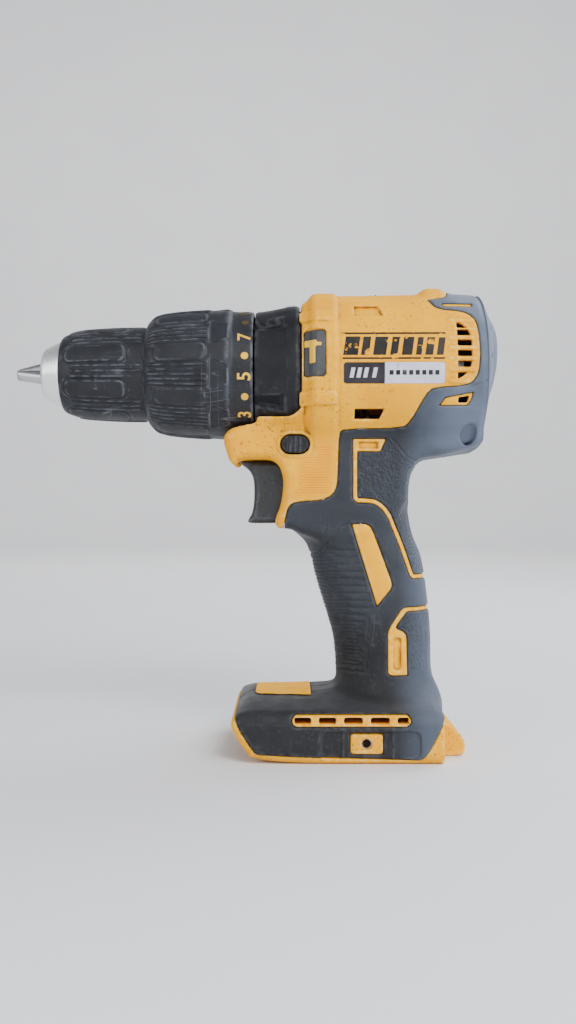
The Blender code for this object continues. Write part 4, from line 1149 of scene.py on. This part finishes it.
HAMMER_SIGN = [(-0.7, -2.8), (0.7, -2.8), (0.7, 0.9), (2.6, 1.1), (2.2, 2.0), (0.9, 2.7), (-2.4, 2.7), (-2.4, 1.0),
               (-0.7, 1.0)]
DRILL_SIGN = [(-0.9, -2.8), (0.9, -2.8), (0.5, -1.8), (1.1, -1.2), (0.5, -0.4), (1.1, 0.2), (0.5, 1.0), (0.9, 1.6),
              (0, 2.8), (-0.9, 1.4), (-0.5, 0.4), (-1.1, -0.2), (-0.5, -1.0), (-1.1, -1.8)]
DOT = [(1.45 * math.cos(2 * math.pi * k / 24), 1.45 * math.sin(2 * math.pi * k / 24)) for k in range(24)]
SIGN_X, SIGN_R = -3.5, 25.8
marks = []
for setting in range(1, 18):
    turn = math.radians((10.5 - setting) * 18)
    if setting < 16 and setting % 2:
        marks.append(rolled_text("sign", str(setting), 5.2, turn, SIGN_X, SIGN_R))
    else:
        outline = {16: DRILL_SIGN, 17: HAMMER_SIGN}.get(setting, DOT)
        marks.append(rolled("sign", flat_shape("sign", outline), turn, SIGN_X, SIGN_R))
numerals = several("collar_numerals", marks, "clutch_collar", smooth=False)
print("numerals have", len(numerals.data.vertices), "points")

# %% [markdown]
# ## Where a tool wears and where it stays dirty
#
# Hands and worktops rub the outer edges pale, and dust settles in the corners. Both places can be read from the
# mesh: at an edge a vertex stands proud of its neighbours' mean, and in a corner it lies below it. The two numbers
# are stored on every vertex, for the finishes to use.


# %% Edge and hollow marks
def neighbour_mean(values, links, count):
    """The mean of each vertex's neighbours for an (n, k) array."""
    total = np.stack([np.bincount(links[:, 0], values[links[:, 1], k], count)
                      + np.bincount(links[:, 1], values[links[:, 0], k], count) for k in range(values.shape[1])], -1)
    degree = np.bincount(links.ravel(), minlength=count)[:, None]
    return total / np.maximum(degree, 1)


def mark(made, name, values):
    """One number on each vertex."""
    store = made.data.attributes.new(name, "FLOAT", "POINT")
    store.data.foreach_set("value", np.asarray(values, np.float32))


def mark_wear(made):
    """edge and hollow: how far a vertex stands above or below its neighbours' mean, by the length of its edges."""
    mesh = made.data
    count = len(mesh.vertices)
    place, normal = np.empty(count * 3, np.float32), np.empty(count * 3, np.float32)
    links = np.empty(len(mesh.edges) * 2, np.int32)
    mesh.vertices.foreach_get("co", place)
    mesh.vertex_normals.foreach_get("vector", normal)
    mesh.edges.foreach_get("vertices", links)
    place, normal, links = place.reshape(-1, 3).astype(float), normal.reshape(-1, 3), links.reshape(-1, 2)
    proud = ((place - neighbour_mean(place, links, count)) * normal).sum(-1, keepdims=True)
    length = np.linalg.norm(place[links[:, 0]] - place[links[:, 1]], axis=1).mean()
    bend = proud / length
    for _ in range(2):
        bend = 0.4 * bend + 0.6 * neighbour_mean(bend, links, count)
    mark(made, "edge", np.clip(bend[:, 0] * 9 - 0.08, 0, 1))
    mark(made, "hollow", np.clip(-bend[:, 0] * 9 - 0.08, 0, 1))


def vertices_of(made):
    """The vertices in millimetres as (n, 3)."""
    flat = np.empty(len(made.data.vertices) * 3, np.float32)
    made.data.vertices.foreach_get("co", flat)
    return flat.reshape(-1, 3) / MM


for piece in (*shells.values(), *rubbers.values(), collar, sleeve, case, rear_cover, nose, trigger, button, selector,
              plate, glyph, *jaws):
    mark_wear(piece)
for piece in rubbers.values():
    x, y, z = vertices_of(piece).T
    mark(piece, "pebble", rise(np.minimum(saddle(x, z), lower_patch(x, z)) + 0.9, 0.8))
print("wear marked")

# %% [markdown]
# ## Shared effects
#
# Four small node groups hold what several finishes have in common: dirt, rubbed edges, moulded grain and fine
# scratches. Each puts out a colour, a mask or a normal. The shader itself stays in each material, where its own
# numbers are set.


# %% Node helpers
def put(tree, kind, inputs=None, **settings):
    """One node, its settings, and its inputs as numbers or as sockets to link."""
    made = tree.nodes.new(kind)
    for key, value in settings.items():
        setattr(made, key, value)
    for key, value in (inputs or {}).items():
        if isinstance(value, bpy.types.NodeSocket):
            tree.links.new(value, made.inputs[key])
        else:
            made.inputs[key].default_value = value
    return made


def effect(name, numbers=(), colors=(), outputs=()):
    """An empty node group with named number and colour inputs."""
    tree = bpy.data.node_groups.new(name, "ShaderNodeTree")
    for key in colors:
        tree.interface.new_socket(key, in_out="INPUT", socket_type="NodeSocketColor")
    for key in numbers:
        tree.interface.new_socket(key, in_out="INPUT", socket_type="NodeSocketFloat")
    for key, kind in outputs:
        tree.interface.new_socket(key, in_out="OUTPUT", socket_type=f"NodeSocket{kind}")
    return tree, tree.nodes.new("NodeGroupInput").outputs, tree.nodes.new("NodeGroupOutput").inputs


def math_of(tree, operation, a, b=0.0, clamp=False):
    """One step of arithmetic on two numbers."""
    return put(tree, "ShaderNodeMath", {0: a, 1: b}, operation=operation, use_clamp=clamp).outputs[0]


def times(tree, a, b):
    """The product."""
    return math_of(tree, "MULTIPLY", a, b)


def added(tree, a, b):
    """The sum, kept between 0 and 1."""
    return math_of(tree, "ADD", a, b, clamp=True)


def ramp(tree, value, start, end):
    """0 below start, 1 above end, smooth between."""
    return put(tree, "ShaderNodeMapRange", {"Value": value, "From Min": start, "From Max": end},
               interpolation_type="SMOOTHSTEP").outputs["Result"]


def object_place(tree):
    """The place in the object's own coordinates, in metres."""
    return put(tree, "ShaderNodeTexCoord").outputs["Object"]


def cloud(tree, scale, detail=3.0, stretch=None):
    """Noise on object coordinates, stretched where asked."""
    place = object_place(tree)
    if stretch:
        place = put(tree, "ShaderNodeMapping", {"Vector": place, "Scale": stretch}).outputs["Vector"]
    return put(tree, "ShaderNodeTexNoise", {"Vector": place, "Scale": scale, "Detail": detail}).outputs["Fac"]


def mixed(tree, share, a, b):
    """Colour a where the share is 0, colour b where it is 1."""
    return put(tree, "ShaderNodeMix", {0: share, 6: a, 7: b}, data_type="RGBA").outputs[2]


def attribute(tree, name):
    """A number that was marked on the vertices."""
    return put(tree, "ShaderNodeAttribute", attribute_name=name).outputs["Fac"]


def laid_over(tree, given, out, share, color):
    """The group's results: the given colour under another one where the share says so, and the share itself."""
    tree.links.new(mixed(tree, share, given["Color"], color), out["Color"])
    tree.links.new(share, out["Mask"])
    return tree


# %% Dirt
COLOR_AND_MASK = (("Color", "Color"), ("Mask", "Float"))


def make_dirt():
    """Specks where two noises agree, and a film in the hollows."""
    tree, given, out = effect("dirt", ("Specks", "Film", "Scale"), ("Color", "Dirt"), COLOR_AND_MASK)
    specks = ramp(tree, cloud(tree, given["Scale"], 4.0), 0.57, 0.70)
    patches = ramp(tree, cloud(tree, 38.0, 3.0), 0.42, 0.66)
    spread = times(tree, times(tree, specks, patches), given["Specks"])
    film = times(tree, times(tree, attribute(tree, "hollow"), ramp(tree, cloud(tree, 260.0), 0.3, 0.6)), given["Film"])
    share = added(tree, spread, film)
    return laid_over(tree, given, out, share, given["Dirt"])


# %% Rubbed edges
def make_rubbed_edges():
    """The worn colour where the edge mark is strong and a noise lets it through."""
    tree, given, out = effect("rubbed_edges", ("Amount", "Scale"), ("Color", "Worn"), COLOR_AND_MASK)
    broken = ramp(tree, cloud(tree, given["Scale"], 5.0), 0.40, 0.62)
    share = times(tree, times(tree, attribute(tree, "edge"), broken), given["Amount"])
    share = put(tree, "ShaderNodeClamp", {"Value": share}).outputs[0]
    return laid_over(tree, given, out, share, given["Worn"])


# %% Moulded grain
def make_grain():
    """A fine bump from one noise, with larger pebbles where the pebble mark says so."""
    tree, given, out = effect("moulded_grain", ("Scale", "Depth", "Pebbles"), (), (("Normal", "Vector"),))
    fine = times(tree, cloud(tree, given["Scale"], 2.0), given["Depth"])
    cells = put(tree, "ShaderNodeTexVoronoi", {"Vector": object_place(tree), "Scale": 1050.0},
                feature="SMOOTH_F1").outputs["Distance"]
    knobs = times(tree, times(tree, cells, attribute(tree, "pebble")), given["Pebbles"])
    height = math_of(tree, "SUBTRACT", fine, knobs)
    bump = put(tree, "ShaderNodeBump", {"Height": height, "Strength": 0.6, "Distance": 0.0004})
    tree.links.new(bump.outputs["Normal"], out["Normal"])
    return tree


# %% Scratches
def make_scratches():
    """Thin lines where a stretched noise crosses a half, broken up by a second noise."""
    tree, given, out = effect("scratches", ("Amount", "Scale"), ("Color", "Scratch"), COLOR_AND_MASK)
    total = None
    for stretch in ((1.0, 0.2, 0.12), (0.1, 0.3, 1.0)):
        value = cloud(tree, given["Scale"], 1.0, stretch)
        away = math_of(tree, "ABSOLUTE", math_of(tree, "SUBTRACT", value, 0.5))
        line = put(tree, "ShaderNodeMapRange", {"Value": away, "From Min": 0.012, "From Max": 0.002}).outputs["Result"]
        total = line if total is None else added(tree, total, line)
    share = times(tree, times(tree, total, ramp(tree, cloud(tree, 70.0, 4.0), 0.52, 0.68)), given["Amount"])
    return laid_over(tree, given, out, share, given["Scratch"])


DIRT, EDGES, GRAIN, SCRATCHES = make_dirt(), make_rubbed_edges(), make_grain(), make_scratches()


def use(tree, group, **inputs):
    """A node group with its inputs filled in."""
    return put(tree, "ShaderNodeGroup", inputs, node_tree=group).outputs


# %% [markdown]
# ## Finishes
#
# Every finish starts with its own base colour, varied by a slow noise, and passes it through the shared effects with
# its own amounts. The yellow nylon is dusty and speckled, the rubber has a dry sheen, the collar is scratched, and
# the steel shows the lathe's rings.


# %% A finish from its parts
def shader_of(material):
    """The material's node tree and its Principled shader."""
    return material.node_tree, material.node_tree.nodes["Principled BSDF"]


def finish(name, base, shade, roughness, spread=0.12, metallic=0.0, dirt=None, edges=None, scratches=None, grain=None,
           slow=55.0):
    """A Principled material: two tones of the base colour, then dirt, rubbed edges and scratches in that order."""
    made = bpy.data.materials.new(name)
    made.use_nodes = True
    tree, shader = shader_of(made)
    shader.inputs["Metallic"].default_value = metallic
    tone = ramp(tree, cloud(tree, slow, 5.0), 0.35, 0.68)
    color = mixed(tree, tone, (*base, 1), (*shade, 1))
    rough = put(tree, "ShaderNodeMapRange", {
        "Value": cloud(tree, slow * 3, 4.0), "From Min": 0.3, "From Max": 0.7,
        "To Min": roughness - spread, "To Max": roughness + spread}).outputs["Result"]
    for group, settings in ((DIRT, dirt), (EDGES, edges), (SCRATCHES, scratches)):
        if settings:
            result = use(tree, group, Color=color, **settings)
            color = result["Color"]
            rough = added(tree, rough, times(tree, result["Mask"], 0.2))
    tree.links.new(color, shader.inputs["Base Color"])
    tree.links.new(rough, shader.inputs["Roughness"])
    if grain:
        tree.links.new(use(tree, GRAIN, **grain)["Normal"], shader.inputs["Normal"])
    return made


def soft_specular(amount, *materials):
    """Old plastic gives back less of the room than fresh plastic."""
    for material in materials:
        shader_of(material)[1].inputs["Specular IOR Level"].default_value = amount


def overlaid(material, share, color):
    """Mix another colour over the base colour."""
    tree, shader = shader_of(material)
    before = shader.inputs["Base Color"].links[0].from_socket
    tree.links.new(mixed(tree, share, before, color), shader.inputs["Base Color"])


def tint(red, green, blue):
    """A colour as linear values with full alpha."""
    return (red, green, blue, 1.0)


# %% Plastics and rubber
yellow = finish("yellow_nylon", (0.95, 0.435, 0.0), (0.85, 0.36, 0.0), 0.6,
                dirt=dict(Dirt=tint(0.14, 0.065, 0.018), Specks=0.75, Film=0.8, Scale=900.0),
                edges=dict(Worn=tint(0.92, 0.60, 0.18), Amount=0.55, Scale=500.0),
                scratches=dict(Scratch=tint(0.55, 0.30, 0.08), Amount=0.35, Scale=230.0),
                grain=dict(Scale=2600.0, Depth=0.55, Pebbles=0.0))
rubber = finish("black_rubber", (0.008, 0.0083, 0.0095), (0.013, 0.0137, 0.016), 0.6,
                dirt=dict(Dirt=tint(0.07, 0.07, 0.075), Specks=0.3, Film=0.3, Scale=700.0),
                edges=dict(Worn=tint(0.06, 0.063, 0.072), Amount=0.5, Scale=420.0),
                scratches=dict(Scratch=tint(0.09, 0.095, 0.105), Amount=0.2, Scale=150.0),
                grain=dict(Scale=2200.0, Depth=0.5, Pebbles=3.2))
collar_plastic = finish("collar_plastic", (0.010, 0.0105, 0.013), (0.017, 0.018, 0.022), 0.44,
                        dirt=dict(Dirt=tint(0.06, 0.063, 0.072), Specks=0.4, Film=0.15, Scale=600.0),
                        edges=dict(Worn=tint(0.14, 0.15, 0.18), Amount=0.6, Scale=330.0),
                        scratches=dict(Scratch=tint(0.20, 0.21, 0.25), Amount=0.35, Scale=170.0),
                        grain=dict(Scale=3000.0, Depth=0.4, Pebbles=0.0))
case_plastic = finish("gear_case_plastic", (0.008, 0.0085, 0.010), (0.014, 0.0145, 0.017), 0.48,
                      dirt=dict(Dirt=tint(0.07, 0.07, 0.08), Specks=0.35, Film=0.4, Scale=500.0),
                      edges=dict(Worn=tint(0.09, 0.095, 0.11), Amount=0.4, Scale=330.0),
                      grain=dict(Scale=2800.0, Depth=0.35, Pebbles=0.0))
trigger_plastic = finish("trigger_plastic", (0.010, 0.0105, 0.012), (0.016, 0.017, 0.019), 0.34,
                         dirt=dict(Dirt=tint(0.09, 0.09, 0.09), Specks=0.3, Film=0.3, Scale=600.0),
                         edges=dict(Worn=tint(0.14, 0.15, 0.17), Amount=0.5, Scale=300.0),
                         grain=dict(Scale=2600.0, Depth=0.3, Pebbles=0.0))
plate_plastic = finish("mode_plate_plastic", (0.028, 0.031, 0.036), (0.042, 0.045, 0.052), 0.5,
                       dirt=dict(Dirt=tint(0.2, 0.14, 0.07), Specks=0.5, Film=0.5, Scale=700.0),
                       grain=dict(Scale=2600.0, Depth=0.4, Pebbles=0.0))
numeral_paint = finish("numeral_paint", (0.84, 0.50, 0.05), (0.70, 0.38, 0.03), 0.55,
                       dirt=dict(Dirt=tint(0.10, 0.08, 0.05), Specks=0.8, Film=0.0, Scale=800.0))
inner_plastic = finish("inner_plastic", (0.03, 0.03, 0.034), (0.045, 0.045, 0.05), 0.5,
                       grain=dict(Scale=2000.0, Depth=0.4, Pebbles=0.0))


def bloomed(material, color, amount):
    """A painted blue-grey sheen for the cool lamps' reflection, partly grey handling bloom, at the rear head and the
    grip.
    """
    tree = material.node_tree
    axes = put(tree, "ShaderNodeSeparateXYZ", {"Vector": object_place(tree)}).outputs
    head = times(tree, ramp(tree, axes["X"], 0.052, 0.082), ramp(tree, axes["Z"], 0.108, 0.128))
    back = times(tree, ramp(tree, axes["X"], 0.052, 0.070), 0.55)
    grip = times(tree, ramp(tree, axes["Z"], 0.040, 0.064), 0.12)
    share = math_of(tree, "MAXIMUM", math_of(tree, "MAXIMUM", head, back), grip)
    share = times(tree, times(tree, share, ramp(tree, cloud(tree, 42.0, 4.0), -0.05, 0.62)), amount)
    overlaid(material, share, color)


# Painted sheen: the rubber's rear and grip are lightened blue-grey to stand for the cool lamps' reflection, with some
# handling bloom.
bloomed(rubber, tint(0.125, 0.155, 0.215), 0.85)
soft_specular(0.08, yellow, numeral_paint)
soft_specular(0.3, collar_plastic, inner_plastic, rubber)
soft_specular(0.2, case_plastic)


def worn_above(material, start, end, color):
    """Paint that fades into the dirt towards the top of the collar, where the palm rubs."""
    tree = material.node_tree
    height = put(tree, "ShaderNodeSeparateXYZ", {"Vector": object_place(tree)}).outputs["Z"]
    overlaid(material, times(tree, ramp(tree, height, start, end), 0.95), color)


worn_above(numeral_paint, 0.1682, 0.1712, tint(0.035, 0.03, 0.022))

# %% Label and print
foil_pale = finish("foil_pale", (0.60, 0.59, 0.68), (0.50, 0.49, 0.58), 0.34, spread=0.08,
                   scratches=dict(Scratch=tint(0.22, 0.21, 0.24), Amount=0.55, Scale=260.0), slow=120.0)
foil_dark = finish("foil_dark", (0.022, 0.019, 0.022), (0.036, 0.032, 0.036), 0.36, spread=0.08,
                   scratches=dict(Scratch=tint(0.3, 0.3, 0.3), Amount=0.4, Scale=260.0), slow=120.0)
panel_print = finish("panel_print", (0.016, 0.015, 0.014), (0.035, 0.028, 0.018), 0.55, slow=90.0)


def wear_through(material, start, end, scale):
    """Print that has flaked: transparent where a noise falls below start."""
    tree, shader = shader_of(material)
    tree.links.new(ramp(tree, cloud(tree, scale, 6.0), start, end), shader.inputs["Alpha"])


wear_through(panel_print, 0.36, 0.42, 330.0)
soft_specular(0.15, panel_print, foil_dark)


# %% Metals
def ringed(material, scale, depth):
    """Lathe rings: a noise that changes along the turning axis only."""
    tree, shader = shader_of(material)
    rings = cloud(tree, scale, 3.0, (1.0, 0.004, 0.004))
    bump = put(tree, "ShaderNodeBump", {"Height": rings, "Strength": depth, "Distance": 0.0002})
    tree.links.new(bump.outputs["Normal"], shader.inputs["Normal"])
    return material


nose_steel = ringed(finish("nose_steel", (0.96, 0.955, 0.94), (0.86, 0.855, 0.84), 0.34, spread=0.07, metallic=1.0,
                           dirt=dict(Dirt=tint(0.30, 0.28, 0.26), Specks=0.35, Film=0.5, Scale=800.0)), 2600.0, 0.35)
jaw_steel = finish("jaw_steel", (0.50, 0.50, 0.51), (0.36, 0.36, 0.37), 0.34, spread=0.08, metallic=1.0,
                   dirt=dict(Dirt=tint(0.16, 0.15, 0.14), Specks=0.5, Film=0.5, Scale=900.0),
                   grain=dict(Scale=1800.0, Depth=0.25, Pebbles=0.0))
gear_steel = finish("gear_steel", (0.52, 0.51, 0.49), (0.40, 0.39, 0.37), 0.34, metallic=1.0,
                    dirt=dict(Dirt=tint(0.10, 0.08, 0.05), Specks=0.6, Film=0.0, Scale=500.0))
screw_steel = finish("screw_steel", (0.16, 0.155, 0.15), (0.26, 0.25, 0.24), 0.38, metallic=1.0,
                     dirt=dict(Dirt=tint(0.10, 0.07, 0.04), Specks=0.4, Film=0.0, Scale=900.0))
copper = finish("copper_windings", (0.62, 0.27, 0.13), (0.35, 0.33, 0.32), 0.4, metallic=1.0, slow=140.0)
brass = finish("contact_brass", (0.68, 0.50, 0.22), (0.55, 0.40, 0.18), 0.3, metallic=1.0, slow=120.0)
board = finish("circuit_board", (0.02, 0.16, 0.06), (0.03, 0.22, 0.09), 0.35, slow=300.0,
               dirt=dict(Dirt=tint(0.35, 0.30, 0.15), Specks=0.9, Film=0.0, Scale=420.0))
lens_glass = finish("lens_plastic", (0.85, 0.88, 0.92), (0.78, 0.82, 0.88), 0.12, spread=0.04)
for material, key, value in ((lens_glass, "Transmission Weight", 0.7), (rubber, "Sheen Weight", 0.12),
                             (rubber, "Sheen Roughness", 0.45)):
    shader_of(material)[1].inputs[key].default_value = value


# %% Give every piece its finish
def paint(material, slot, *pieces):
    """One material on each piece. The slot is not used."""
    for piece in pieces:
        piece.data.materials.clear()
        piece.data.materials.append(material)


paint(yellow, "yellow_shell", *shells.values(), *ribs)
paint(rubber, "black_rubber", *rubbers.values(), rear_cover)
paint(collar_plastic, "black_plastic", collar)
paint(collar_plastic, "sleeve_black", sleeve)
paint(case_plastic, "black_plastic", case, button)
paint(trigger_plastic, "black_plastic", trigger)
paint(trigger_plastic, "selector", selector)
paint(plate_plastic, "black_plastic", plate)
paint(numeral_paint, "yellow_shell", glyph, numerals)
paint(nose_steel, "steel", nose)
paint(jaw_steel, "steel", *jaws)
paint(screw_steel, "steel", *screws)
paint(panel_print, "black_plastic", *panels)
for dark, pale, light_bars, dark_bars in labels:
    paint(foil_dark, "black_plastic", dark, dark_bars)
    paint(foil_pale, None, pale, light_bars)

NODE_FINISHES = {
    "steel": gear_steel, "motor_plate": gear_steel, "stator": copper, "circuit_board": board, "contact_brass": brass,
    "clear_lens": lens_glass, "black_plastic": inner_plastic, "yellow_shell": yellow, "black_rubber": rubber,
    "sleeve_black": collar_plastic, "selector": trigger_plastic}
for entry in frame["record"]["subparts"]:
    node = frame["nodes"][entry["node"]]
    for slot in node.material_slots:
        slot.material = NODE_FINISHES[entry["material_slot"]]
print("finishes:", len(bpy.data.materials), "materials")

# %% [markdown]
# ## Light
#
# The key lamp stands above and in front, a little to the right. Two cool lamps on the right and above the rear draw
# the pale blue reflections on the rubber, a weak one fills from the left, and two more light the wall. A blue-grey
# sheen painted into the rubber's colour adds to those reflections. The room itself gives a little even light.

# %% Room and lamps
floor = add_floor()
floor_paint = finish("floor_paint", (0.80, 0.80, 0.80), (0.78, 0.78, 0.785), 0.75, spread=0.05, slow=4.0)
floor.data.materials.append(floor_paint)
room = bpy.data.worlds.new("room")
bpy.context.scene.world = room
room.use_nodes = True
room.node_tree.nodes["Background"].inputs["Color"].default_value = (0.86, 0.90, 1.0, 1)
room.node_tree.nodes["Background"].inputs["Strength"].default_value = 0.42
CENTRE = (0.02, 0.0, 0.09)
add_area_light("key", (0.45, -0.80, 0.80), CENTRE, 0.5, 11.0)
add_area_light("left", (-0.85, -0.65, 0.45), CENTRE, 0.6, 3.6)
add_area_light("right", (0.90, -0.45, 0.30), CENTRE, 0.6, 5.5, (0.72, 0.83, 1.0))
add_area_light("rear", (0.55, 0.35, 0.75), CENTRE, 0.7, 7, (0.86, 0.92, 1.0))
for side in (-1, 1):
    add_area_light("backdrop", (0.0, side * 1.0, 1.6), (0.0, side * 2.6, 0.5), 1.2, 34)
